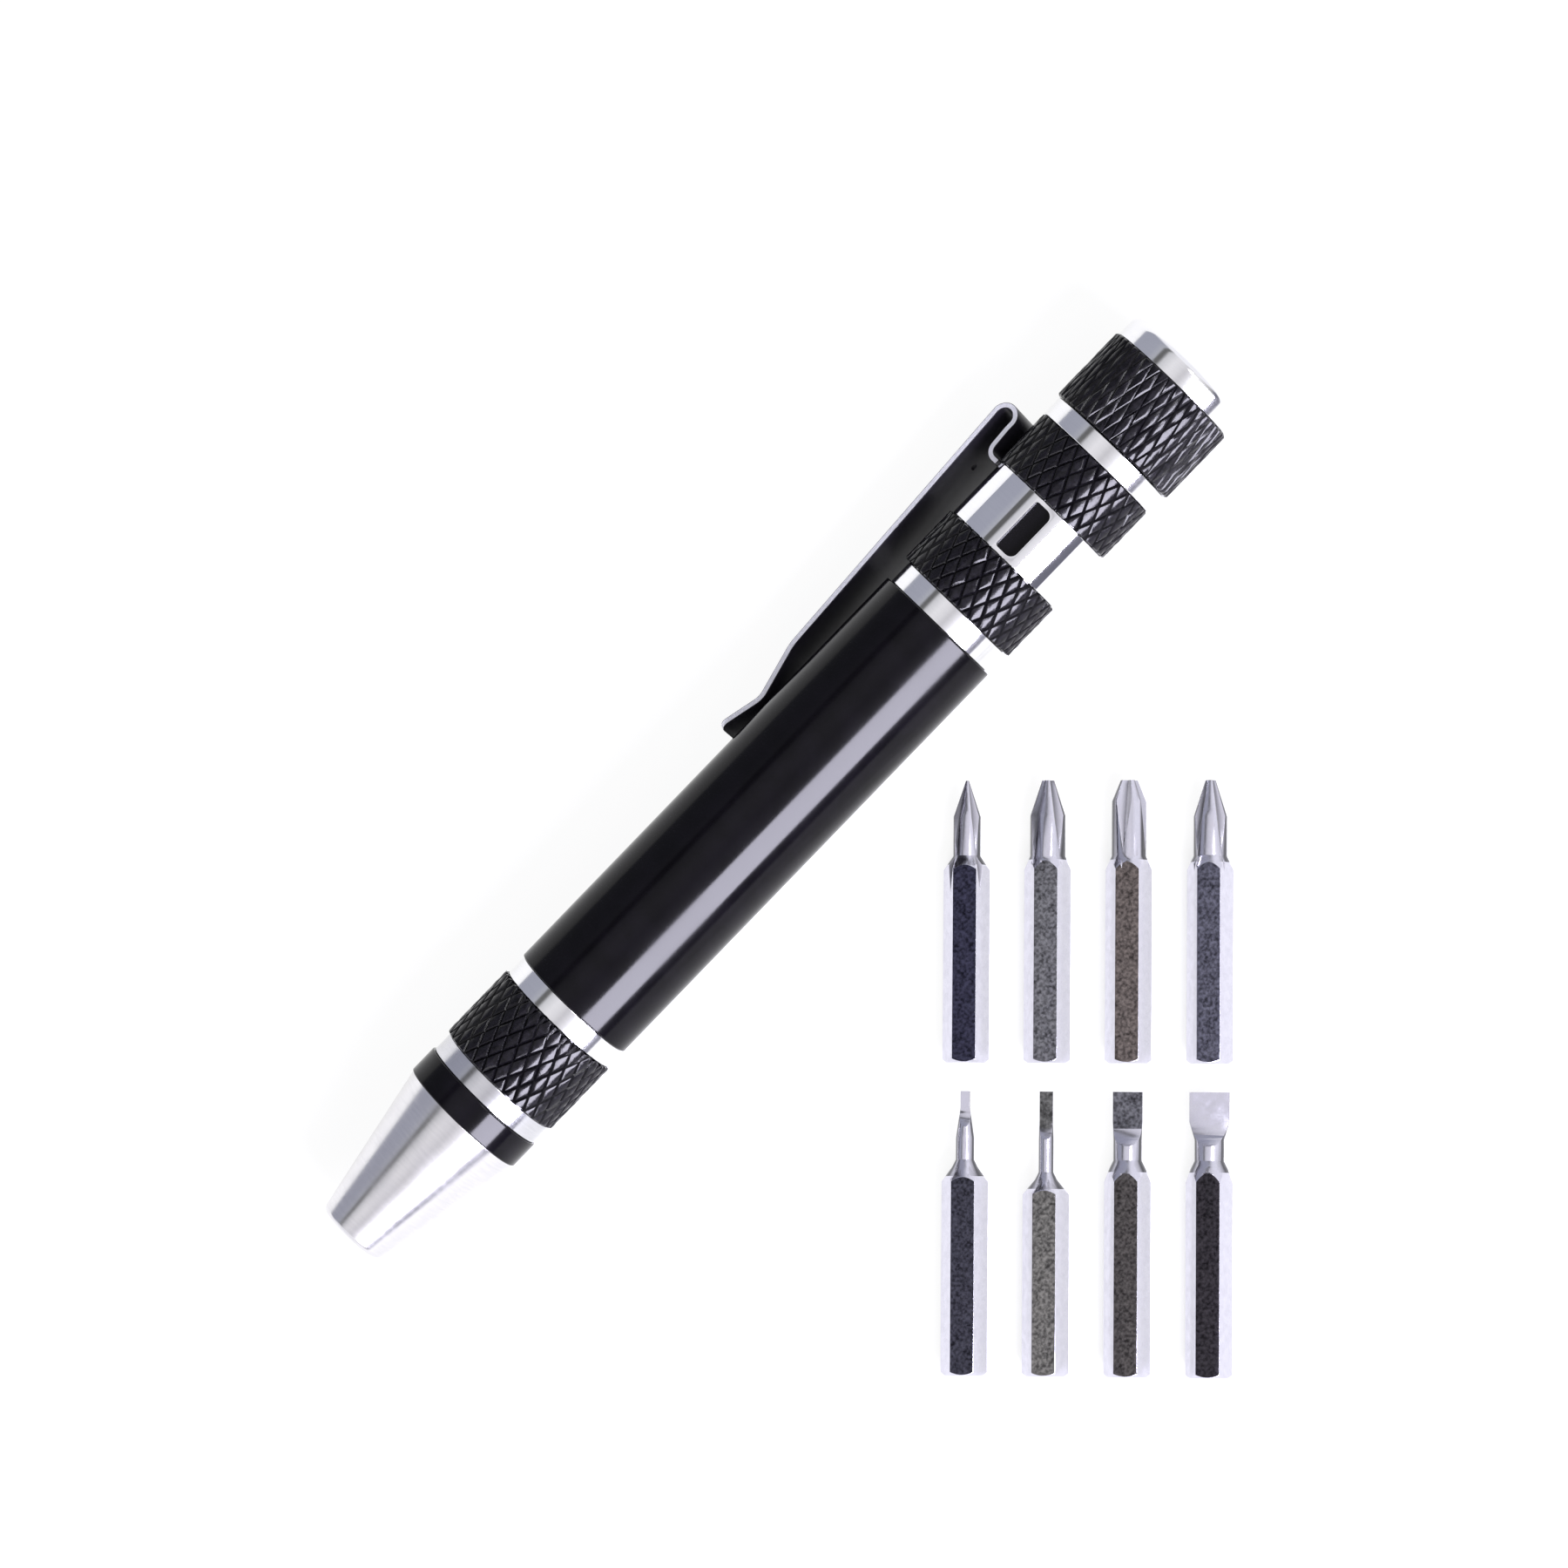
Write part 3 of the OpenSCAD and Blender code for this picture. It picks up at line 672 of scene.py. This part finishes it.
def addClipRing(look, finish):
    low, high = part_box("clip_ring")
    ring = turnPiece("clip_ring_turned", ringStations("clip_ring", look["radius"]))
    cutBy(ring, addWindowCutter(look, (low.x + high.x) / 2))
    cutBy(ring, addNotchCutter(look, high.x))
    makeActive(ring)
    roundEdges(ring, look["edge"], segments=2, angle=50)
    smoothEdges()
    stand(ring, "handle", "chrome", finish, "clip_ring")
    print("clip ring turned and cut")


# Clip: one ribbon of sheet steel, drawn in a plane through the axis and rolled to the table

clipLook = {
    "roll": 22.1931,              # from +Y down to the table, in degrees
    "thickness": 0.6 * mm,
    "width": 7.2 * mm,
    "tipWidth": 5.4 * mm,
    "foot": (99.45 * mm, 6.05 * mm),
    "footTop": 7.7 * mm,
    "footRun": 3 * mm,
    "footRounding": 1.1 * mm,
    "bendCentre": (103.175 * mm, 9.175 * mm),
    "bendRadius": 1.225 * mm,
    "knee": (72.4 * mm, 8.95 * mm),
    "kneeRounding": 6 * mm,
    "press": (66.5 * mm, 7.26 * mm),
    "pressRounding": 2.6 * mm,
    "tip": (61.6 * mm, 8.6 * mm),
    "tipCorner": 1 * mm,
    "flex": (102.2261 * mm, 10.3553 * mm),
    "flexRows": (0.5, 1, 1.5, 2, 2.5, 3, 3.5),    # shares of the way from the bend's top to flex at which the strip has rows, flex is at 1
    "flexLean": 70,               # of the line along which the strip starts to bend, from -X
    "flexReach": 0.5 * mm,
    "edgeRounding": 0.07 * mm,
    "dimpleX": 97.6 * mm,
    "dimpleSize": (0.35 * mm, 0.2 * mm, 0.48 * mm),
}


def inClipPlane(x, height):
    roll = radians(clipLook["roll"])
    return Vector((x, height * cos(roll), -height * sin(roll)))


def arcPoints(centre, radius, start, end, steps):
    turns = [start + (end - start) * i / steps for i in range(steps + 1)]
    return [centre + radius * Vector((cos(t), sin(t))) for t in turns]


def roundCorner(before, corner, after, radius, steps):
    back, forth = (before - corner).normalized(), (after - corner).normalized()
    half = back.angle(forth) / 2
    centre = corner + (back + forth).normalized() * radius / sin(half)
    first = corner + back * radius / tan(half) - centre
    last = corner + forth * radius / tan(half) - centre
    start = atan2(first.y, first.x)
    turn = (atan2(last.y, last.x) - start + 3 * pi) % (2 * pi) - pi
    return arcPoints(centre, radius, start, start + turn, steps)


def clipPath(look):
    # From the foot in the ring's notch, back and round the bend, and along the arm to its tip
    foot, knee, press, tip = (Vector(look[part]) for part in ("foot", "knee", "press", "tip"))
    centre, bend = Vector(look["bendCentre"]), look["bendRadius"]
    footTop = Vector((foot.x, look["footTop"]))
    legStart = Vector((foot.x + look["footRun"], centre.y - bend))
    legEnd = Vector((centre.x, centre.y - bend))
    armTop, flex = Vector((centre.x, centre.y + bend)), Vector(look["flex"])
    return [
        foot,
        *roundCorner(foot, footTop, legStart, look["footRounding"], steps=6),
        *roundCorner(footTop, legStart, legEnd, look["footRounding"], steps=6),
        *arcPoints(centre, bend, -pi / 2, pi / 2, steps=28)[1:],
        *[armTop + (flex - armTop) * share for share in look["flexRows"]],
        *roundCorner(flex, knee, press, look["kneeRounding"], steps=14),
        *roundCorner(knee, press, tip, look["pressRounding"], steps=14),
        tip,
    ]


def addRibbon(look):
    path = clipPath(look)
    bendX, tipX = look["bendCentre"][0], look["tip"][0]
    bpy.ops.object.select_all(action="DESELECT")
    bpy.ops.mesh.primitive_plane_add(size=1, rotation=(pi / 2, 0, 0))
    ribbon = beginPiece("pocket_clip")
    selectCorners(ribbon, lambda corner: corner.co.x > 0)
    bpy.ops.mesh.delete(type="VERT")              # leaves the plane's one edge at x = -0.5
    bpy.ops.mesh.select_all(action="SELECT")
    bpy.ops.transform.translate(value=(path[0].x + 0.5, path[0].y, 0))
    bpy.ops.transform.resize(value=(1, 1, look["width"]), center_override=(path[0].x, path[0].y, 0))
    here, wide = path[0], look["width"]
    onArm = False
    for point in path[1:]:
        onArm = onArm or point.y > look["bendCentre"][1]
        share = (bendX - point.x) / (bendX - tipX) if onArm else 0
        newWide = look["width"] + (look["tipWidth"] - look["width"]) * max(share, 0)
        step = (point.x - here.x, point.y - here.y, 0)
        bpy.ops.mesh.extrude_region_move(TRANSFORM_OT_translate={"value": step})
        bpy.ops.transform.resize(value=(1, 1, newWide / wide), center_override=(point.x, point.y, 0))
        here, wide = point, newWide
    bpy.ops.mesh.bevel(offset=look["tipCorner"], segments=8, affect="VERTICES")
    closePiece(ribbon)
    rollPiece(ribbon, look["roll"])
    return ribbon


def addDimpleCutter(look):
    knee, flex = Vector(look["knee"]), Vector(look["flex"])
    share = (look["dimpleX"] - knee.x) / (flex.x - knee.x)
    inner = knee.lerp(flex, share).y - look["thickness"] / 2
    bpy.ops.object.select_all(action="DESELECT")
    bpy.ops.mesh.primitive_uv_sphere_add(segments=24, ring_count=12, radius=1)
    dimple = beginPiece("dimpleCutter")
    bpy.ops.transform.resize(value=look["dimpleSize"], center_override=(0, 0, 0))
    bpy.ops.transform.translate(value=(look["dimpleX"], inner, 0))
    closePiece(dimple)
    rollPiece(dimple, look["roll"])
    return dimple


def addClip(look, finish, edgeFinish):
    clip = addRibbon(look)
    clip.data.materials.append(finish)
    clip.data.materials.append(edgeFinish)
    addModifier(clip, "SOLIDIFY", {"thickness": look["thickness"], "offset": 0, "use_even_offset": True,
                                   "material_offset_rim": 1})
    roundEdges(clip, look["edgeRounding"], segments=3, angle=60, finish=0)
    cutBy(clip, addDimpleCutter(look))
    makeActive(clip)
    smoothEdges()
    flex, lean = Vector(look["flex"]), radians(look["flexLean"])
    reach = Vector((-cos(lean), sin(lean))) * look["flexReach"]
    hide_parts("clip_root", "clip_arm")
    inClipPlane(*(flex - reach))
    inClipPlane(*(flex + reach))
    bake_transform(clip)
    print("clip bent")


# Finishes, each made from the place on the piece, in metres, and its turn about the driver's axis

driverRadius = 7 * mm


def beginFinish(name, settings):
    material, tree, shader = newMaterial(name, settings)
    return material, tree, shader, addNode(tree, "ShaderNodeTexCoord", output="Object")


def unrolled(tree, place):
    # The place along and round the driver, as if its skin were rolled out flat
    x, y, z = partsOf(tree, place)
    return addNode(tree, "ShaderNodeCombineXYZ", values=[x, y.maths("ARCTAN2", z) * driverRadius, 0.0])


def noise(tree, place, size, stretch=(1, 1, 1), detail=2, contrast=0.2, seed=0):
    # Noise with features of about that size, brought to run from 0 to 1
    moved = addNode(tree, "ShaderNodeMapping", values={
        "Vector": place, "Location": (seed, seed, seed), "Scale": tuple(s / size for s in stretch)})
    grain = addNode(tree, "ShaderNodeTexNoise", values={"Vector": moved, "Scale": 1.0, "Detail": detail})
    return ranged(tree, grain, 0.5 - contrast, 0.5 + contrast, 0.0, 1.0)


def bump(tree, height, distance, strength=0.5):
    values = {"Strength": strength, "Distance": distance, "Height": height}
    return addNode(tree, "ShaderNodeBump", values=values)


turningMarks = {
    "ringStretch": (1, 0.01, 1),
    "scratchStretch": (1, 0.08, 1),
    "scratchWidth": 2,           # times a ring's
    "scratchDepth": 0.5,         # share of a ring's
    "smudgeTone": 0.6,           # shares of the dulled tone
    "scratchTone": 0.4,
}


def turnedMetal(name, look, marks=turningMarks):
    # Bright metal with the fine rings that turning leaves, and faint smudges
    material, tree, shader, place = beginFinish(name, {"Metallic": 1})
    flat = unrolled(tree, place)
    rings = noise(tree, flat, look["ringWidth"], marks["ringStretch"], detail=3)
    scratches = noise(tree, flat, look["ringWidth"] * marks["scratchWidth"], marks["scratchStretch"], seed=3)
    smudges = noise(tree, place, look["smudgeSize"], detail=4, seed=5)
    dulled = smudges * marks["smudgeTone"] + scratches * marks["scratchTone"]
    low, high = look["roughness"]
    plug(tree, shader,
         Base_Color=mixColours(tree, dulled, look["colour"], look["dulled"]),
         Roughness=smudges * (high - low) + rings * look["ringRoughness"] + low,
         Normal=bump(tree, rings + scratches * marks["scratchDepth"], look["ringDepth"]))
    return material


turnedLooks = {
    "brightAluminium": {
        "colour": (0.94, 0.94, 0.95), "dulled": (0.87, 0.87, 0.89), "roughness": (0.09, 0.14),
        "ringRoughness": 0.03, "ringWidth": 0.09 * mm, "ringDepth": 0.0007 * mm, "smudgeSize": 7 * mm},
    # Ring 1's copy of the bright aluminium: a rougher finish, and a darker colour that is painted shade
    "shadedSatinAluminium": {
        "colour": (0.74, 0.74, 0.77), "dulled": (0.64, 0.64, 0.67), "roughness": (0.13, 0.19),
        "ringRoughness": 0.05, "ringWidth": 0.09 * mm, "ringDepth": 0.0015 * mm, "smudgeSize": 6 * mm},
    "coneAluminium": {
        "colour": (0.88, 0.87, 0.88), "dulled": (0.76, 0.75, 0.77), "roughness": (0.16, 0.23),
        "ringRoughness": 0.04, "ringWidth": 0.12 * mm, "ringDepth": 0.0012 * mm, "smudgeSize": 4 * mm},
    "chrome": {
        "colour": (0.94, 0.94, 0.96), "dulled": (0.88, 0.88, 0.91), "roughness": (0.03, 0.07),
        "ringRoughness": 0.02, "ringWidth": 0.15 * mm, "ringDepth": 0.0005 * mm, "smudgeSize": 5 * mm},
    "plainAluminium": {
        "colour": (0.68, 0.68, 0.70), "dulled": (0.58, 0.58, 0.60), "roughness": (0.26, 0.38),
        "ringRoughness": 0.12, "ringWidth": 0.2 * mm, "ringDepth": 0.004 * mm, "smudgeSize": 4 * mm},
    "socketSteel": {
        "colour": (0.50, 0.50, 0.51), "dulled": (0.38, 0.37, 0.38), "roughness": (0.28, 0.42),
        "ringRoughness": 0.1, "ringWidth": 0.15 * mm, "ringDepth": 0.003 * mm, "smudgeSize": 2 * mm},
    "magnet": {
        "colour": (0.60, 0.60, 0.60), "dulled": (0.46, 0.45, 0.43), "roughness": (0.2, 0.32),
        "ringRoughness": 0.03, "ringWidth": 0.3 * mm, "ringDepth": 0.001 * mm, "smudgeSize": 1.2 * mm},
}

hairlineLook = {"size": 0.12 * mm, "stretch": (1, 0.03, 1), "contrast": 0.3}
grainTone = 0.1              # share of the worn colour that the grain brings


def blackAnodised(name, look, hairline=hairlineLook):
    # Black oxide over aluminium: grain, finger smudges, hairline scratches, and paler worn crests
    material, tree, shader, place = beginFinish(name, {"IOR": look["index"]})
    grain = noise(tree, place, look["grainSize"], detail=3)
    smudges = noise(tree, place, look["smudgeSize"], detail=4, seed=2)
    hairlines = noise(tree, unrolled(tree, place), **hairline, seed=7)
    y, z = partsOf(tree, place)[1:]
    crest = ranged(tree, (y * y + z * z).maths("SQRT"), *look["crest"], 0.0, 1.0)
    wearAndShade = crest * noise(tree, place, look["wearSize"], contrast=0.12, seed=4)
    tone = wearAndShade * look["wear"] + grain * grainTone
    low, high = look["roughness"]
    plug(tree, shader,
         Base_Color=mixColours(tree, tone, look["colour"], look["wornColour"]),
         Roughness=smudges * (high - low) + hairlines * look["hairRoughness"] + low,
         Normal=bump(tree, grain + hairlines * look["hairDepth"], look["grainDepth"]))
    return material


# Crest is the distances from the axis at which the wear starts, and is whole
blackLooks = {
    "glossBlack": {
        "index": 1.26, "colour": (0.0008, 0.0007, 0.0011), "wornColour": (0.006, 0.005, 0.008),
        "roughness": (0.10, 0.16), "grainSize": 0.2 * mm, "grainDepth": 0.0006 * mm, "smudgeSize": 9 * mm,
        "hairRoughness": 0.03, "hairDepth": 0.6, "crest": (6.86 * mm, 6.95 * mm), "wear": 0.3,
        "wearSize": 3 * mm},
    "knurledBlack": {
        "index": 1.30, "colour": (0.0010, 0.0009, 0.0013), "wornColour": (0.030, 0.027, 0.038),
        "roughness": (0.15, 0.23), "grainSize": 0.3 * mm, "grainDepth": 0.012 * mm, "smudgeSize": 5 * mm,
        "hairRoughness": 0.04, "hairDepth": 0.3, "crest": (6.95 * mm, 7.06 * mm), "wear": 0.15,
        "wearSize": 0.6 * mm},
    "coarseBlack": {
        "index": 1.30, "colour": (0.0010, 0.0009, 0.0013), "wornColour": (0.030, 0.027, 0.038),
        "roughness": (0.15, 0.24), "grainSize": 0.35 * mm, "grainDepth": 0.012 * mm, "smudgeSize": 5 * mm,
        "hairRoughness": 0.04, "hairDepth": 0.3, "crest": (7.30 * mm, 7.43 * mm), "wear": 0.15,
        "wearSize": 0.6 * mm},
    "clipBlack": {
        "index": 1.45, "colour": (0.0115, 0.0105, 0.0150), "wornColour": (0.040, 0.036, 0.050),
        "roughness": (0.26, 0.34), "grainSize": 0.15 * mm, "grainDepth": 0.001 * mm, "smudgeSize": 6 * mm,
        "hairRoughness": 0.02, "hairDepth": 0.4, "crest": (9 * mm, 14 * mm), "wear": 0.2,
        "wearSize": 4 * mm},
    "sealRubber": {
        "index": 1.45, "colour": (0.018, 0.018, 0.019), "wornColour": (0.05, 0.05, 0.05),
        "roughness": (0.6, 0.8), "grainSize": 0.15 * mm, "grainDepth": 0.01 * mm, "smudgeSize": 2 * mm,
        "hairRoughness": 0.0, "hairDepth": 0.0, "crest": (5.4 * mm, 5.5 * mm), "wear": 0.4,
        "wearSize": 1 * mm},
}


def groundSteel(name, look, flats=(), tip=None, seed=0):
    # Ground and nickel plated steel, with painted shade in grooves. Flats are painted shades for the upward
    # faces between two heights, in place of a dark reflection from above. Tip is a direction and how far
    # along it a bit's tip begins: what faces sideways gets painted shade there
    material, tree, shader, place = beginFinish(name, {"Metallic": look["metal"]})
    blotches = noise(tree, place, look["blotchSize"], detail=5, contrast=0.14, seed=seed)
    grain = noise(tree, place, look["grainSize"], detail=3, contrast=0.25, seed=seed + 3)
    # Painted shade: the colour darkens where other faces crowd round, as in flutes and creases
    groove = ranged(tree, opennessOf(tree, look["grooveReach"]), *look["grooveOpen"], 1.0, 0.0)
    groove = groove * look["grooveShade"]
    rise = partsOf(tree, addNode(tree, "ShaderNodeTexCoord", output="Normal"))[2]
    if tip:
        dot = {"operation": "DOT_PRODUCT"}
        along = addNode(tree, "ShaderNodeVectorMath", dot, [place, tip[0]], output="Value")
        # Painted shade: faces at the tip that turn sideways are darkened, in place of the dark surroundings
        # they mirror
        side = ranged(tree, rise, *look["sideRise"], 1.0, 0.0) * (along > tip[1]) * look["sideShade"]
        groove = groove.maths("MAXIMUM", side)
    mottled = blotches * look["mottle"][0] + grain * look["mottle"][1]
    colour = mixColours(tree, mottled, look["pale"], look["dark"])
    colour = mixColours(tree, groove, colour, look["groove"])
    if flats:
        colour = paintFlatShade(tree, look, place, rise, blotches, colour, flats, seed)
    low, high = look["roughness"]
    roughness = blotches * (high - low) + grain * look["grainRoughness"] + low
    normal = bump(tree, grain, look["grainDepth"])
    plug(tree, shader, Base_Color=colour, Roughness=roughness, Normal=normal)
    return material


def paintFlatShade(tree, look, place, rise, blotches, colour, flats, seed):
    # Painted shade: upward flats between two heights are darkened in place of a dark reflection from above,
    # with random speckles
    speckles = noise(tree, place, look["speckleSize"], detail=4, contrast=0.13, seed=seed + 6)
    speckles = speckles * look["speckleMix"][0] + blotches * look["speckleMix"][1]
    upward = ranged(tree, rise, *look["upwardRise"], 0.0, 1.0)
    height = partsOf(tree, place)[2]
    paler, darker = look["speckleTones"]
    fade = look["flatFade"]
    for tone, start, end in flats:
        level = ranged(tree, height, start, start + fade, 0.0, 1.0)
        level = level * ranged(tree, height, end - fade, end, 1.0, 0.0)
        wearAndShade = mixColours(tree, speckles, [paler * c for c in tone], [darker * c for c in tone])
        colour = mixColours(tree, upward * level, colour, wearAndShade)
    return colour


steelLook = {
    "metal": 1,
    "pale": (0.76, 0.75, 0.84),
    "dark": (0.66, 0.65, 0.74),
    "mottle": (0.5, 0.5),             # shares of the blotches and of the grain in the dark tone
    "roughness": (0.14, 0.22),
    "grainRoughness": 0.06,
    # colour of the painted shade in grooves and on the tips' sides
    "groove": (0.05, 0.05, 0.055),
    "grooveReach": 0.9 * mm,
    "grooveOpen": (0.5, 0.92),        # openness at which the painted groove shade is darkest, and gone
    "grooveShade": 0.95,
    "sideRise": (0.5, 0.8),           # upward share of the normal over which the tip's painted side shade fades, from sideways to upward
    "sideShade": 0.92,
    "upwardRise": (0.93, 0.98),
    "flatFade": 0.02 * mm,
    "speckleTones": (2.0, 0.3),       # times the flat's painted shade
    "speckleMix": (0.65, 0.35),       # shares of the speckles and of the blotches
    "blotchSize": 0.9 * mm,
    "grainSize": 0.14 * mm,
    "speckleSize": 0.34 * mm,
    "grainDepth": 0.002 * mm,
}
bareEdge = {
    "metal": 0.5,
    "pale": (0.88, 0.88, 0.92),
    "dark": (0.70, 0.69, 0.74),
    "mottle": (0.5, 0.5),
    "roughness": (0.35, 0.5),
    "grainRoughness": 0.06,
    # colour of the painted shade where the edge is hemmed in by other faces
    "groove": (0.3, 0.3, 0.3),
    "grooveReach": 0.3 * mm,
    "grooveOpen": (0.35, 0.9),
    "grooveShade": 0.3,
    "blotchSize": 1.5 * mm,
    "grainSize": 0.25 * mm,
    "grainDepth": 0.002 * mm,
}


# Bits: a copy of each, its edges rounded

bitLook = {
    "halfAcross": 2 * mm,        # from a shank's axis to its upward flat
    "shankTop": 1.9 * mm,        # over the axis, where only the shank reaches
    "flats": ((1.95 * mm, 2.1 * mm), (0.1 * mm, 0.35 * mm)),    # heights of the shank's and the blade's flats with painted shade
    "edge": 0.05 * mm,
    "flatWithin": 0.5,           # degrees between triangles that are one face
    "smooth": 30,
    "seedStep": 11,
}
paintedFlatShades = {                     # painted shade of the shank's upward flat, and of the blade's
    "cross_bit_fine": [(0.035, 0.035, 0.060)],
    "cross_bit_large": [(0.15, 0.15, 0.165)],
    "cross_bit_blunt": [(0.135, 0.115, 0.11)],
    "cross_bit_small": [(0.10, 0.10, 0.135)],
    "slot_bit_needle": [(0.05, 0.05, 0.068)],
    "slot_bit_narrow": [(0.165, 0.16, 0.155), (0.12, 0.12, 0.12)],
    "slot_bit_medium": [(0.078, 0.072, 0.072), (0.13, 0.13, 0.15)],
    "slot_bit_wide": [(0.035, 0.032, 0.038)],
}


def addBits(look, steel):
    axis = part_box("cross_bit_fine")[1].z - look["halfAcross"]
    shankTop = axis + look["shankTop"]
    for number, (node, flatShades) in enumerate(paintedFlatShades.items()):
        bit = bpy.data.objects.new(node + "_ground", nodes[node].data.copy())
        bpy.context.scene.collection.objects.link(bit)
        bit.matrix_world = nodes[node].matrix_world
        makeActive(bit)
        beginPiece(node + "_ground")
        bpy.ops.mesh.remove_doubles(threshold=mergeGap)
        bpy.ops.mesh.dissolve_limited(angle_limit=radians(look["flatWithin"]))
        closePiece(bit)
        roundEdges(bit, look["edge"], segments=2, angle=25)
        smoothEdges(look["smooth"])
        bit.data.materials.clear()
        # painted shade on each bit's upward shank and blade flats
        flats = [(tone, axis + low, axis + high) for tone, (low, high) in zip(flatShades, look["flats"])]
        shankEnd = max(corner.co.dot(upWay) for corner in bit.data.vertices if corner.co.z > shankTop)
        tip = (upWay, shankEnd + look["edge"])
        finish = groundSteel(node + "Steel", steel, flats, tip, number * look["seedStep"])
        stand(bit, node, "bit_steel", finish, node)
        bit.visible_glossy = False        # they are a set of their own, and the driver doesn't mirror them
    print("bits rounded")


# The inner pieces keep their own shapes and only get a finish

innerFinishes = {
    "bit_socket": "socketSteel",
    "cap_screw": "socketSteel",
    "socket_magnet": "magnet",
    "cap_plug": "plainAluminium",
    "cap_seal": "sealRubber",
}


def dressInside(finishes):
    for node, finish in innerFinishes.items():
        nodes[node].data.materials.clear()
        nodes[node].data.materials.append(finishes[finish])
    print("inner pieces dressed")


addCamera(cameraLook)
addStudio()
finishes = {name: turnedMetal(name, look) for name, look in turnedLooks.items()}
finishes.update({name: blackAnodised(name, look) for name, look in blackLooks.items()})
addRings(finishes)
addBarrel(barrelLook, finishes["glossBlack"])
addCone(coneLook, finishes["coneAluminium"])
addCapEnd(endLook, finishes["brightAluminium"])
addGrips(fineKnurl, finishes["knurledBlack"])
addShell(shellLook, coarseKnurl, finishes["coarseBlack"])
addClipRing(clipRingLook, finishes["chrome"])
addClip(clipLook, finishes["clipBlack"], groundSteel("bareEdge", bareEdge))
addBits(bitLook, steelLook)
dressInside(finishes)
